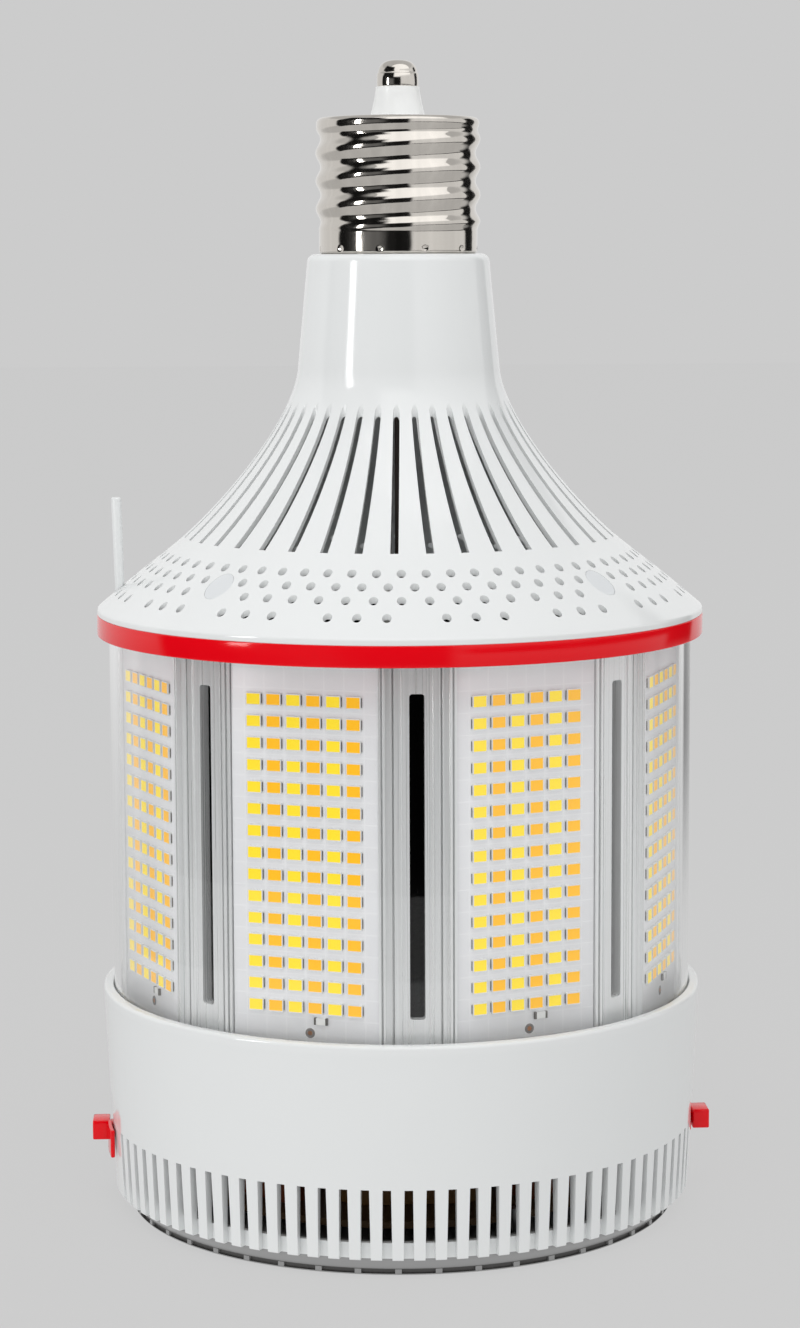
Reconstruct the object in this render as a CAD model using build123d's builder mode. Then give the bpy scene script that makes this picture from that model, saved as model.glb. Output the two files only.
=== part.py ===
from build123d import *

import os
from math import cos, radians, sin, sqrt, tan

os.makedirs("parts", exist_ok=True)

# Fits
slip = 0.2  # gap between nested fixed pieces
running_gap = 0.3  # gap between a knob and what it slides on

# Clear tube, whose radius the other diameters follow
tube_radius = 69.7
tube_wall = 1.5

# Bottom cover: the plate that the lamp stands on
cover_gap = 0.4  # between the cover's flange and the skirt
cover_step = 2.0  # how far the foot is set in from the flange
cover_rim = 1.5
cover_floor = 2.4
cover_spigot = 3.2  # height of the locating wall above the flange
cover_wall = 2.0

# Lower skirt
skirt_bottom = 4.5
skirt_height = 49.8
lip_wall = 2.4  # wall of the upper half, around the tube
skirt_flare = 1.7  # how far the upper half stands out
flare_from = 23.0  # start of the swelling above the skirt's foot
flare_to = 37.5
skirt_wall = 2.2
skirt_lip = 0.9  # rounding of the upper edge
shelf_drop = 12.3  # shelf top below the skirt's upper edge
shelf_thickness = 1.8
shelf_width = 18.4
slot_count = 90
slot_width = 2.4  # at the foot
slot_draft = 0.85  # degrees that each side of a slot leans in towards the top
slot_top = 16.5  # above the skirt's foot
band_height = 3.6
band_thickness = 1.6
post_inset = 8.4  # post's middle from the skirt's inner wall
post_radius = 4.0
post_angle = 22.5

# Slide-switch knobs on the left and right of the skirt
knob_width = 6.8
knob_height = 4.7
knob_reach = 4.9  # how far the knob stands out of the skirt
knob_level = 13.0  # middle of the knob above the skirt's foot
shield_angle = 20.0  # arc of the curved shield behind the knob
shield_height = 8.8
shield_thickness = 1.0
stem_width = 4.0
stem_height = 3.0
window_ease = 1.0  # spare length of the window that the stem runs in
knob_travel = 3.5  # degrees to each side
bare_angle = 13.0  # no cooling slots this close to a knob

# Slide-switch bodies behind the skirt
switch_width = 20.0
switch_height = 10.0
switch_depth = 6.0
switch_setback = 2.1  # from the skirt's inner wall
switch_ear = 3.0
ear_thickness = 1.2
stem_dip = 2.4  # how far the stem reaches into the switch

# Heat sink
sides = 8
sink_height = 100.3
core_gap = 0.44  # between the rails' corners and the tube
trough_opening = 14.36
trough_depth = 2.3  # floor of a trough below the flats
trough_floor = 7.6
sink_wall = 2.8
rail_height = 2.2
rail_width = 1.7
ledge_depth = 3.4  # ledge below the rail's top
ledge_width = 1.5
vent_width = 3.4
vent_inset = 9.25  # vent's ends inside the boards' ends
fin_depth = 14.0
fin_thickness = 1.6
fin_pitch = 9.0

# Light boards
board_head = 0.7  # board's upper edge below the core's top
board_thickness = 1.5
board_raise = 7.6  # foot of the board above the core's foot
resistor_length = 3.2
resistor_width = 1.6
resistor_thickness = 0.6
resistor_raise = 8.2
resistor_side = 3.6

# Red ring
ring_wall = 2.6
ring_height = 4.9
ring_flange = 1.2

# Plate on the core
plate_thickness = 1.5
plate_inset = 2.2  # plate's edge from the tube's bore
plate_width = 24.0

# Screw base
shell_radius = 19.5
thread_depth = 1.15
thread_lead = 5.94  # rise from one crest to the next
thread_turns = 4
shell_band = 7.6  # plain stretch under the thread
shell_sheet = 0.6
shell_height = 31.8
mouth_lip = 4.05
insulator_radius = 6.4
insulator_tip = 5.2
insulator_height = 7.2
insulator_flange = 2.2
contact_inset = 0.3
contact_height = 6.2
contact_rounding = 3.0

# Upper housing: cone, flare and neck
ring_reveal = 0.1  # how far the red ring shows beyond the housing
housing_wall = 1.6
housing_rim = 1.86
cone_angle = 37.8
cone_width = 17.5  # straight part of the cone, from its edge inwards
flare_pull_low = 14.4
flare_pull_high = 12.3
neck_margin = 4.5  # neck's foot beyond the screw shell
neck_rise = 42.5  # height of the curved stretch
neck_length = 27.0
neck_angle = 85.0
neck_cap = 2.4
neck_rounding = 0.8
spigot_gap = 0.55  # between the spigot and the screw shell
spigot_height = 9.0
wire_bore = 5.0
slit_count = 40
slit_width = 1.7
slit_inset = 2.3  # inner end beyond the neck's foot
slit_margin = 3.4  # outer end short of the straight cone
plug_inset = 11.2  # plug's middle from the housing's edge
plug_radius = 3.35
plug_depth = 2.5
plug_count = 4
boss_radius = 5.0
antenna_inset = 5.5
antenna_radius = 1.2
antenna_above = 21.5
antenna_boss = 2.6

# Driver
driver_raise = 7.4  # underside of the board above the table
driver_gap = 1.0  # between the board's edge and the skirt's posts
driver_thickness = 1.6
standoff_inset = 6.0
standoff_radius = 3.2
transformer_length = 33.0
transformer_width = 28.0
transformer_height = 22.0
capacitor_radius = 6.5
capacitor_height = 20.0
capacitor_inset = 11.0
choke_radius = 11.0
choke_bore = 4.5
choke_height = 12.0
film_length = 16.0
film_width = 8.0
film_height = 13.0
connector_length = 12.0
connector_width = 7.0
connector_height = 10.0
lead_radius = 1.1
lead_spread = 3.0
lead_bend = 4.0

# Screws
screw_radius = 1.5
screw_head_radius = 2.9
screw_head_height = 1.7
screw_length = 12.0

# Radii and distances from the axis, worked out from the tube
tube_inner = tube_radius - tube_wall
skirt_upper = tube_radius + slip + lip_wall
skirt_radius = skirt_upper - skirt_flare
skirt_inner = skirt_radius - skirt_wall
cover_flange_radius = skirt_inner - cover_gap
cover_radius = cover_flange_radius - cover_step
shelf_bore = skirt_inner - shelf_width
post_distance = skirt_inner - post_inset
driver_radius = post_distance - post_radius - driver_gap
standoff_distance = driver_radius - standoff_inset
capacitor_distance = driver_radius - capacitor_inset
ring_radius = tube_radius + slip + ring_wall
plate_radius = tube_inner - plate_inset
plate_bore = plate_radius - plate_width
root_radius = shell_radius - thread_depth
crown = root_radius - 2 * thread_depth
shell_mouth = crown - mouth_lip
spigot_radius = root_radius - shell_sheet - spigot_gap
contact_radius = insulator_tip - contact_inset
housing_radius = ring_radius - ring_reveal
flare_start = housing_radius - cone_width
neck_radius = shell_radius + neck_margin
slit_inner = neck_radius + slit_inset
slit_outer = flare_start - slit_margin
plug_distance = housing_radius - plug_inset
antenna_distance = housing_radius - antenna_inset

# Levels, from the table up
flange_top = skirt_bottom
skirt_top = skirt_bottom + skirt_height
shelf_top = skirt_top - shelf_drop
sink_top = shelf_top + sink_height
plate_top = sink_top + plate_thickness
ring_bottom = plate_top - ring_height
tube_top = plate_top - ring_flange
cone_base = plate_top + housing_rim
flare_base = cone_base + (housing_radius - flare_start) * tan(radians(cone_angle))
neck_base = flare_base + neck_rise
neck_top = neck_base + neck_length
shell_top = neck_top + shell_height
contact_base = shell_top + insulator_height
side_step = 360 / sides
board_height = sink_height - board_raise - board_head
vent_length = board_height - 2 * vent_inset


def polar(distance, side, angle):
    """Point at a distance along a direction and a sideways step from it."""
    turn = radians(angle)
    x = distance * cos(turn) - side * sin(turn)
    y = distance * sin(turn) + side * cos(turn)
    return (x, y)


def side_plane(distance, angle, level):
    """Plane that faces outwards from the axis, with its own x level and its y up."""
    turn = radians(angle)
    origin = (distance * cos(turn), distance * sin(turn), level)
    return Plane(origin=origin, x_dir=(-sin(turn), cos(turn), 0), z_dir=(cos(turn), sin(turn), 0))


# Bottom cover
spigot_outer = skirt_radius - skirt_wall - band_thickness - slip
with BuildPart() as bottom_cover:
    with BuildSketch(Plane.XZ):
        with BuildLine():
            Polyline(
                (0, 0),
                (cover_radius, 0),
                (cover_radius, cover_rim),
                (cover_flange_radius, flange_top - cover_rim / 2),
                (cover_flange_radius, flange_top),
                (spigot_outer, flange_top),
                (spigot_outer, flange_top + cover_spigot),
                (spigot_outer - cover_wall, flange_top + cover_spigot),
                (spigot_outer - cover_wall, cover_floor),
                (0, cover_floor),
                close=True,
            )
        make_face()
    revolve(axis=Axis.Z)
    with BuildSketch(Plane.XY.offset(cover_floor)):
        with PolarLocations(standoff_distance, plug_count, start_angle=45):
            Circle(standoff_radius)
    extrude(amount=driver_raise - cover_floor)
    with Locations(*[
        Plane((*polar(post_distance, 0, post_angle + 90 * k), 0), z_dir=(0, 0, -1)) for k in range(4)
    ]):
        CounterSinkHole(screw_radius + slip, screw_head_radius + slip, depth=cover_floor)
bottom_cover.part.label = "bottom_cover"
export_step(bottom_cover.part, "parts/bottom_cover.step")

# Screws that hold the bottom cover to the skirt's posts
with BuildPart() as cover_screws:
    with BuildSketch(Plane.XZ):
        with BuildLine():
            Polyline(
                (0, 0),
                (screw_head_radius, 0),
                (screw_radius, screw_head_radius - screw_radius),
                (screw_radius, screw_length),
                (0, screw_length),
                close=True,
            )
        make_face()
    revolve(axis=Axis.Z)
screw_spots = [Location((*polar(post_distance, 0, post_angle + 90 * k), 0)) for k in range(4)]
cover_screw_set = Compound(children=[spot * cover_screws.part.solid() for spot in screw_spots])
cover_screw_set.label = "cover_screws"
export_step(cover_screw_set, "parts/cover_screws.step")

# Lower skirt
knob_height_z = skirt_bottom + knob_level
with BuildPart() as lower_skirt:
    with BuildSketch(Plane.XZ):
        with BuildLine():
            Polyline(
                (skirt_inner, skirt_bottom),
                (skirt_radius, skirt_bottom),
                (skirt_radius, skirt_bottom + flare_from),
            )
            Bezier(
                (skirt_radius, skirt_bottom + flare_from),
                (skirt_radius, skirt_bottom + (flare_from + flare_to) / 2),
                (skirt_upper, skirt_bottom + (flare_from + flare_to) / 2),
                (skirt_upper, skirt_bottom + flare_to),
            )
            Polyline(
                (skirt_upper, skirt_bottom + flare_to),
                (skirt_upper, skirt_top - skirt_lip),
                (skirt_upper - skirt_lip, skirt_top),
                (tube_radius + slip, skirt_top),
                (tube_radius + slip, shelf_top),
                (shelf_bore, shelf_top),
                (shelf_bore, shelf_top - shelf_thickness),
                (skirt_inner, shelf_top - shelf_thickness),
                (skirt_inner, skirt_bottom),
            )
        make_face()
    revolve(axis=Axis.Z)
    slot_angles = [k * 360 / slot_count for k in range(slot_count)]
    open_angles = [a for a in slot_angles if abs((a + 90) % 180 - 90) > bare_angle]
    with BuildSketch(*[side_plane(skirt_inner - skirt_wall, angle, skirt_bottom) for angle in open_angles]):
        Trapezoid(slot_width, slot_top, 90 - slot_draft, align=(Align.CENTER, Align.MIN))
    extrude(amount=3 * skirt_wall, mode=Mode.SUBTRACT)
    with BuildSketch(Plane.XY.offset(flange_top)):
        Circle(skirt_inner)
        Circle(skirt_inner - band_thickness, mode=Mode.SUBTRACT)
    extrude(amount=band_height)
    with BuildSketch(Plane.XY.offset(cover_floor)):
        with PolarLocations(post_distance, 4, start_angle=post_angle):
            Circle(post_radius)
    extrude(amount=shelf_top - shelf_thickness - cover_floor)
    with BuildSketch(Plane.XY.offset(cover_floor)):
        with PolarLocations(post_distance, 4, start_angle=post_angle):
            Circle(screw_radius + slip / 4)
    extrude(amount=screw_length, mode=Mode.SUBTRACT)
    for side in (0, 180):
        window = 2 * (skirt_radius * sin(radians(knob_travel)) + running_gap) + stem_width + window_ease
        with BuildSketch(side_plane(skirt_radius - 2 * skirt_wall, side, knob_height_z)):
            Rectangle(window, stem_height + 2 * running_gap)
        extrude(amount=4 * skirt_wall, mode=Mode.SUBTRACT)
        with BuildSketch(side_plane(skirt_inner - switch_setback, side, knob_height_z)):
            with Locations((-switch_width / 2 - switch_ear / 2, 0), (switch_width / 2 + switch_ear / 2, 0)):
                Rectangle(switch_ear, switch_height)
        extrude(amount=switch_setback)
lower_skirt.part.label = "lower_skirt"
export_step(lower_skirt.part, "parts/lower_skirt.step")

# Slide switches behind the skirt, and the knobs on them
switch_face = skirt_inner - switch_setback
for name, side in (("colour", 0), ("power", 180)):
    slot_length = 2 * (switch_face * sin(radians(knob_travel)) + running_gap) + stem_width
    with BuildPart() as switch:
        with BuildSketch(side_plane(switch_face, side, knob_height_z)):
            Rectangle(switch_width, switch_height)
        extrude(amount=-switch_depth)
        with BuildSketch(side_plane(switch_face, side, knob_height_z)):
            Rectangle(switch_width + 2 * switch_ear, switch_height)
        extrude(amount=-ear_thickness)
        with BuildSketch(side_plane(switch_face, side, knob_height_z)):
            Rectangle(slot_length + 2 * slip, stem_height + 2 * running_gap)
        extrude(amount=-stem_dip - 2 * running_gap, mode=Mode.SUBTRACT)
    switch.part.label = name + "_switch"
    export_step(switch.part, "parts/" + name + "_switch.step")

    shield_inner = skirt_radius + running_gap
    with BuildPart() as knob:
        with BuildSketch(Plane.XY.offset(knob_height_z - shield_height / 2)):
            with BuildLine():
                CenterArc((0, 0), shield_inner, side - shield_angle / 2, shield_angle)
                CenterArc((0, 0), shield_inner + shield_thickness, side - shield_angle / 2, shield_angle)
                for end in (-shield_angle / 2, shield_angle / 2):
                    Line(polar(shield_inner, 0, side + end), polar(shield_inner + shield_thickness, 0, side + end))
            make_face()
        extrude(amount=shield_height)
        with BuildSketch(side_plane(shield_inner + shield_thickness / 2, side, knob_height_z)):
            Rectangle(knob_width, knob_height)
        extrude(amount=knob_reach - running_gap - shield_thickness / 2)
        with BuildSketch(side_plane(switch_face - stem_dip, side, knob_height_z)):
            Rectangle(stem_width, stem_height)
        extrude(amount=shield_inner + shield_thickness / 2 - switch_face + stem_dip)
    knob.part.label = name + "_knob"
    export_step(knob.part, "parts/" + name + "_knob.step")

# Heat sink: one extrusion with a flat for each board and a slotted trough at each corner
corner_cos = cos(radians(side_step / 2))
corner_sin = sin(radians(side_step / 2))
lip_across = trough_opening / 2
lip_out = sqrt((tube_inner - core_gap) ** 2 - lip_across**2)
rail_top = lip_out * corner_cos + lip_across * corner_sin
rail_to = lip_out * corner_sin - lip_across * corner_cos
rail_from = rail_to - rail_width
pad_distance = rail_top - rail_height
trough_out = pad_distance - trough_depth
ledge_out = lip_out - ledge_depth
inner_out = trough_out - sink_wall
pad_inner = pad_distance - sink_wall
with BuildPart() as heat_sink:
    with BuildSketch(Plane.XY.offset(shelf_top)):
        outline = []
        hollow = []
        for k in range(sides):
            trough = -90 + k * side_step
            pad = trough + side_step / 2
            outline += [
                polar(trough_out, trough_floor / 2, trough),
                polar(ledge_out, lip_across - ledge_width, trough),
                polar(ledge_out, lip_across, trough),
                polar(rail_top, -rail_to, pad),
                polar(rail_top, -rail_from, pad),
                polar(pad_distance, -rail_from, pad),
                polar(pad_distance, rail_from, pad),
                polar(rail_top, rail_from, pad),
                polar(rail_top, rail_to, pad),
                polar(ledge_out, -lip_across, trough + side_step),
                polar(ledge_out, ledge_width - lip_across, trough + side_step),
                polar(trough_out, -trough_floor / 2, trough + side_step),
            ]
            hollow += [
                polar(inner_out, trough_floor / 2 + sink_wall, trough),
                polar(pad_inner, sink_wall - rail_from, pad),
                polar(pad_inner, rail_from - sink_wall, pad),
                polar(inner_out, -trough_floor / 2 - sink_wall, trough + side_step),
            ]
        Polygon(*outline, align=None)
        Polygon(*hollow, align=None, mode=Mode.SUBTRACT)
        for k in range(sides):
            pad = -90 + (k + 0.5) * side_step
            for step in (-fin_pitch, 0, fin_pitch):
                with Locations(Location((*polar(pad_inner - fin_depth / 2, step, pad), 0), pad)):
                    Rectangle(fin_depth + sink_wall, fin_thickness)
    extrude(amount=sink_height)
    for k in range(sides):
        trough = -90 + k * side_step
        vent_plane = side_plane(inner_out - sink_wall, trough, shelf_top + board_raise + board_height / 2)
        with BuildSketch(vent_plane):
            Rectangle(vent_width, vent_length)
        extrude(amount=3 * sink_wall, mode=Mode.SUBTRACT)
heat_sink.part.label = "heat_sink"
export_step(heat_sink.part, "parts/heat_sink.step")

# Light boards on the flats
board_base = shelf_top + board_raise
board_width = 2 * (rail_from - slip)
for k in range(sides):
    pad = -90 + (k + 0.5) * side_step
    with BuildPart() as board:
        with BuildSketch(side_plane(pad_distance, pad, board_base + board_height / 2)):
            Rectangle(board_width, board_height)
        extrude(amount=board_thickness)
    board.part.label = "led_board_" + str(k + 1)
    export_step(board.part, "parts/led_board_" + str(k + 1) + ".step")

# Chip resistor at the foot of each board
with BuildPart() as chip_resistors:
    for k in range(sides):
        pad = -90 + (k + 0.5) * side_step
        with BuildSketch(side_plane(pad_distance + board_thickness, pad, board_base + resistor_raise)):
            with Locations((resistor_side, 0)):
                Rectangle(resistor_length, resistor_width)
        extrude(amount=resistor_thickness)
chip_resistors.part.label = "chip_resistors"
export_step(chip_resistors.part, "parts/chip_resistors.step")

# Clear tube
with BuildPart() as clear_tube:
    with BuildSketch(Plane.XY.offset(shelf_top)):
        Circle(tube_radius)
        Circle(tube_inner, mode=Mode.SUBTRACT)
    extrude(amount=tube_top - shelf_top)
clear_tube.part.label = "clear_tube"
export_step(clear_tube.part, "parts/clear_tube.step")

# Red trim ring
with BuildPart() as trim_ring:
    with BuildSketch(Plane.XY.offset(ring_bottom)):
        Circle(ring_radius)
        Circle(tube_radius + slip, mode=Mode.SUBTRACT)
    extrude(amount=ring_height)
    with BuildSketch(Plane.XY.offset(tube_top)):
        Circle(ring_radius - slip)
        Circle(plate_radius + slip, mode=Mode.SUBTRACT)
    extrude(amount=ring_flange)
trim_ring.part.label = "trim_ring"
export_step(trim_ring.part, "parts/trim_ring.step")

# Plate on the core
with BuildPart() as top_plate:
    with BuildSketch(Plane.XY.offset(sink_top)):
        Circle(plate_radius)
        Circle(plate_bore, mode=Mode.SUBTRACT)
        with PolarLocations(plug_distance, plug_count, start_angle=45):
            Circle(screw_radius + slip / 4, mode=Mode.SUBTRACT)
    extrude(amount=plate_thickness)
top_plate.part.label = "top_plate"
export_step(top_plate.part, "parts/top_plate.step")


def housing_profile(wall):
    """Outline of the housing from its foot to its neck, moved in by a wall."""
    slope = radians(cone_angle)
    rise = radians(neck_angle)
    low = (flare_start - wall * sin(slope), flare_base - wall * cos(slope))
    high = (neck_radius - wall * sin(rise), neck_base - wall * cos(rise))
    edge = housing_radius - wall
    edge_level = low[1] - (edge - low[0]) * tan(slope)
    pull_low = (low[0] - flare_pull_low * cos(slope), low[1] + flare_pull_low * sin(slope))
    pull_high = (high[0] + flare_pull_high * cos(rise), high[1] - flare_pull_high * sin(rise))
    top = (high[0] - neck_length / tan(rise), neck_top)
    return (edge, edge_level), low, pull_low, pull_high, high, top


# Hollow of the upper housing, less the bosses that stand in it
inner_edge, inner_low, inner_pull, inner_pull_high, inner_high, inner_top = housing_profile(housing_wall)
with BuildPart() as housing_hollow:
    with BuildSketch(Plane.XZ):
        with BuildLine():
            Polyline((0, plate_top), (inner_edge[0], plate_top), inner_edge, inner_low)
            Bezier(inner_low, inner_pull, inner_pull_high, inner_high)
            Polyline(inner_high, (inner_top[0], neck_top - neck_cap), (0, neck_top - neck_cap), (0, plate_top))
        make_face()
    revolve(axis=Axis.Z)
    with BuildSketch(Plane.XY.offset(plate_top)):
        with PolarLocations(plug_distance, plug_count, start_angle=45):
            Circle(boss_radius)
        with PolarLocations(antenna_distance, 1, start_angle=180):
            Circle(antenna_boss)
    extrude(amount=neck_rise, mode=Mode.SUBTRACT)

# Upper housing
outer_edge, outer_low, outer_pull, outer_pull_high, outer_high, outer_top = housing_profile(0)
plug_level = outer_low[1] - (plug_distance - outer_low[0]) * tan(radians(cone_angle))
antenna_level = outer_low[1] - (antenna_distance - outer_low[0]) * tan(radians(cone_angle))
plug_foot = plug_level - plug_depth - plug_radius * tan(radians(cone_angle))
with BuildPart() as upper_housing:
    with BuildSketch(Plane.XZ):
        with BuildLine():
            Polyline((0, plate_top), (outer_edge[0], plate_top), outer_edge, outer_low)
            Bezier(outer_low, outer_pull, outer_pull_high, outer_high)
            Polyline(
                outer_high,
                (outer_top[0], neck_top - neck_rounding),
                (outer_top[0] - neck_rounding, neck_top),
                (spigot_radius, neck_top),
                (spigot_radius, neck_top + spigot_height),
                (0, neck_top + spigot_height),
                (0, plate_top),
            )
        make_face()
    revolve(axis=Axis.Z)
    add(housing_hollow.part, mode=Mode.SUBTRACT)
    with BuildSketch(Plane.XY.offset(plate_top)):
        with PolarLocations((slit_inner + slit_outer) / 2, slit_count, start_angle=180 / slit_count):
            Rectangle(slit_outer - slit_inner, slit_width)
    extrude(amount=neck_base - plate_top, mode=Mode.SUBTRACT)
    with BuildSketch(Plane.XY.offset(neck_top - 2 * neck_cap)):
        Circle(wire_bore)
    extrude(amount=2 * neck_cap + spigot_height, mode=Mode.SUBTRACT)
    with BuildSketch(Plane.XY.offset(plug_foot)):
        with PolarLocations(plug_distance, plug_count, start_angle=45):
            Circle(plug_radius)
    extrude(amount=neck_rise, mode=Mode.SUBTRACT)
    with BuildSketch(Plane.XY.offset(plate_top)):
        with PolarLocations(plug_distance, plug_count, start_angle=45):
            Circle(screw_radius + slip / 2)
        with PolarLocations(antenna_distance, 1, start_angle=180):
            Circle(antenna_radius + slip / 2)
    extrude(amount=neck_rise, mode=Mode.SUBTRACT)
upper_housing.part.label = "upper_housing"
export_step(upper_housing.part, "parts/upper_housing.step")

# Plugs over the housing screws, cut off along the cone
plug_seat = plug_foot + screw_head_height + slip
plug_reach = plug_radius + slip
plug_fall = plug_reach * tan(radians(cone_angle))
with BuildPart() as screw_plugs:
    with BuildSketch(Plane.XZ):
        with BuildLine():
            Polyline(
                (plug_distance - plug_reach, plug_seat),
                (plug_distance + plug_reach, plug_seat),
                (plug_distance + plug_reach, plug_level - plug_fall),
                (plug_distance - plug_reach, plug_level + plug_fall),
                close=True,
            )
        make_face()
    revolve(axis=Axis.Z)
    with BuildSketch(Plane.XY.offset(plate_top)):
        with PolarLocations(plug_distance, plug_count, start_angle=45):
            Circle(plug_radius - slip / 4)
    extrude(amount=neck_rise, mode=Mode.INTERSECT)
screw_plugs.part.label = "screw_plugs"
export_step(screw_plugs.part, "parts/screw_plugs.step")

# Housing screws under the plugs
with BuildPart() as housing_screws:
    with BuildSketch(Plane.XY.offset(plug_foot)):
        with PolarLocations(plug_distance, plug_count, start_angle=45):
            Circle(screw_head_radius)
    extrude(amount=screw_head_height)
    with BuildSketch(Plane.XY.offset(sink_top)):
        with PolarLocations(plug_distance, plug_count, start_angle=45):
            Circle(screw_radius)
    extrude(amount=plug_foot - sink_top)
housing_screws.part.label = "housing_screws"
export_step(housing_screws.part, "parts/housing_screws.step")

# Antenna rod
with BuildPart() as antenna:
    with BuildSketch(Plane.XY.offset(plate_top)):
        with PolarLocations(antenna_distance, 1, start_angle=180):
            Circle(antenna_radius)
    extrude(amount=antenna_level - plate_top + antenna_above)
    chamfer(antenna.faces().sort_by(Axis.Z)[-1].edges(), antenna_radius / 3)
antenna.part.label = "antenna"
export_step(antenna.part, "parts/antenna.step")

# Screw shell
thread_base = neck_top + shell_band
with BuildPart() as screw_shell:
    with BuildSketch(Plane.XZ):
        ridge = []
        for turn in range(thread_turns):
            level = thread_base + turn * thread_lead
            ridge += [(root_radius, level), (shell_radius, level + thread_lead / 2)]
        with BuildLine():
            Polyline(
                (root_radius - shell_sheet, neck_top),
                (shell_radius, neck_top),
                (shell_radius, thread_base - thread_lead / 4),
                *ridge,
                (crown, shell_top),
                (shell_mouth, shell_top),
                (shell_mouth, shell_top - shell_sheet),
                (crown - shell_sheet, shell_top - shell_sheet),
                (root_radius - shell_sheet, shell_top - shell_sheet - thread_depth),
                close=True,
            )
        make_face()
    revolve(axis=Axis.Z)
screw_shell.part.label = "screw_shell"
export_step(screw_shell.part, "parts/screw_shell.step")

# Insulator between the shell and the centre contact
with BuildPart() as contact_insulator:
    with BuildSketch(Plane.XZ):
        with BuildLine():
            Polyline(
                (lead_radius + slip, shell_top - shell_sheet - insulator_flange),
                (crown - 2 * shell_sheet, shell_top - shell_sheet - insulator_flange),
                (crown - 2 * shell_sheet, shell_top - shell_sheet),
                (shell_mouth - slip, shell_top - shell_sheet),
                (shell_mouth - slip, shell_top),
                (insulator_radius, shell_top),
                (insulator_tip, contact_base),
                (lead_radius + slip, contact_base),
                close=True,
            )
        make_face()
    revolve(axis=Axis.Z)
contact_insulator.part.label = "contact_insulator"
export_step(contact_insulator.part, "parts/contact_insulator.step")

# Centre contact
with BuildPart() as centre_contact:
    with BuildSketch(Plane.XY.offset(contact_base)):
        Circle(contact_radius)
    extrude(amount=contact_height)
    chamfer(
        centre_contact.faces().sort_by(Axis.Z)[-1].edges(),
        length=contact_rounding / 2,
        length2=contact_rounding,
    )
centre_contact.part.label = "centre_contact"
export_step(centre_contact.part, "parts/centre_contact.step")

# Driver board on the bottom cover's standoffs
driver_top = driver_raise + driver_thickness
with BuildPart() as driver_board:
    with BuildSketch(Plane.XY.offset(driver_raise)):
        Circle(driver_radius)
    extrude(amount=driver_thickness)
driver_board.part.label = "driver_board"
export_step(driver_board.part, "parts/driver_board.step")

# Transformer
with BuildPart() as transformer:
    with BuildSketch(Plane.XY.offset(driver_top)):
        with Locations((0, -driver_radius / 2)):
            Rectangle(transformer_length, transformer_width)
    extrude(amount=transformer_height)
    chamfer(transformer.edges().filter_by(Axis.Z), transformer_width / 8)
transformer.part.label = "transformer"
export_step(transformer.part, "parts/transformer.step")

# Electrolytic capacitors
with BuildPart() as capacitors:
    with BuildSketch(Plane.XY.offset(driver_top)):
        with PolarLocations(capacitor_distance, 2, start_angle=-20, angular_range=40, endpoint=True):
            Circle(capacitor_radius)
        with PolarLocations(capacitor_distance, 2, start_angle=160, angular_range=40, endpoint=True):
            Circle(capacitor_radius)
    extrude(amount=capacitor_height)
capacitors.part.label = "capacitors"
export_step(capacitors.part, "parts/capacitors.step")

# Choke
with BuildPart() as choke:
    with BuildSketch(Plane.XY.offset(driver_top)):
        with Locations((0, driver_radius / 2)):
            Circle(choke_radius)
            Circle(choke_bore, mode=Mode.SUBTRACT)
    extrude(amount=choke_height)
choke.part.label = "choke"
export_step(choke.part, "parts/choke.step")

# Film capacitors
with BuildPart() as film_capacitors:
    with BuildSketch(Plane.XY.offset(driver_top)):
        for angle in (45, 135, 225, 315):
            with Locations(Location((*polar(capacitor_distance, 0, angle), 0), angle)):
                Rectangle(film_width, film_length)
    extrude(amount=film_height)
film_capacitors.part.label = "film_capacitors"
export_step(film_capacitors.part, "parts/film_capacitors.step")

# Connector that the two leads leave from
with BuildPart() as lead_connector:
    with BuildSketch(Plane.XY.offset(driver_top)):
        Rectangle(connector_length, connector_width)
    extrude(amount=connector_height)
lead_connector.part.label = "lead_connector"
export_step(lead_connector.part, "parts/lead_connector.step")

# Leads up through the core: one to the centre contact, one to the shell
lead_base = driver_top + connector_height
with BuildPart() as line_lead:
    with BuildSketch(Plane.XY.offset(lead_base)):
        Circle(lead_radius)
    extrude(amount=contact_base - lead_base)
line_lead.part.label = "line_lead"
export_step(line_lead.part, "parts/line_lead.step")

lead_turn = neck_top + spigot_height + 2 * lead_bend
shell_seat = root_radius - shell_sheet - slip / 2
with BuildPart() as neutral_lead:
    with BuildLine():
        FilletPolyline(
            (-lead_spread, 0, lead_base),
            (-lead_spread, 0, lead_turn),
            (-shell_seat, 0, lead_turn),
            radius=lead_bend,
        )
    with BuildSketch(Plane.XY.offset(lead_base)):
        with Locations((-lead_spread, 0)):
            Circle(lead_radius)
    sweep()
neutral_lead.part.label = "neutral_lead"
export_step(neutral_lead.part, "parts/neutral_lead.step")
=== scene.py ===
"""Looks of an LED replacement lamp with a screw base: meshes, finishes, studio and camera."""

import logging
from dataclasses import Field, dataclass, field
from enum import Enum
from functools import cache
from math import atan2, cos, degrees, hypot, pi, radians, sin, sqrt, tan

import bmesh
import bpy
from bmesh.types import BMEdge, BMesh, BMVert
from bpy.types import Material, Mesh, Node, NodeSocket, NodeTree, Object
from mathutils import Matrix, Vector


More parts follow.
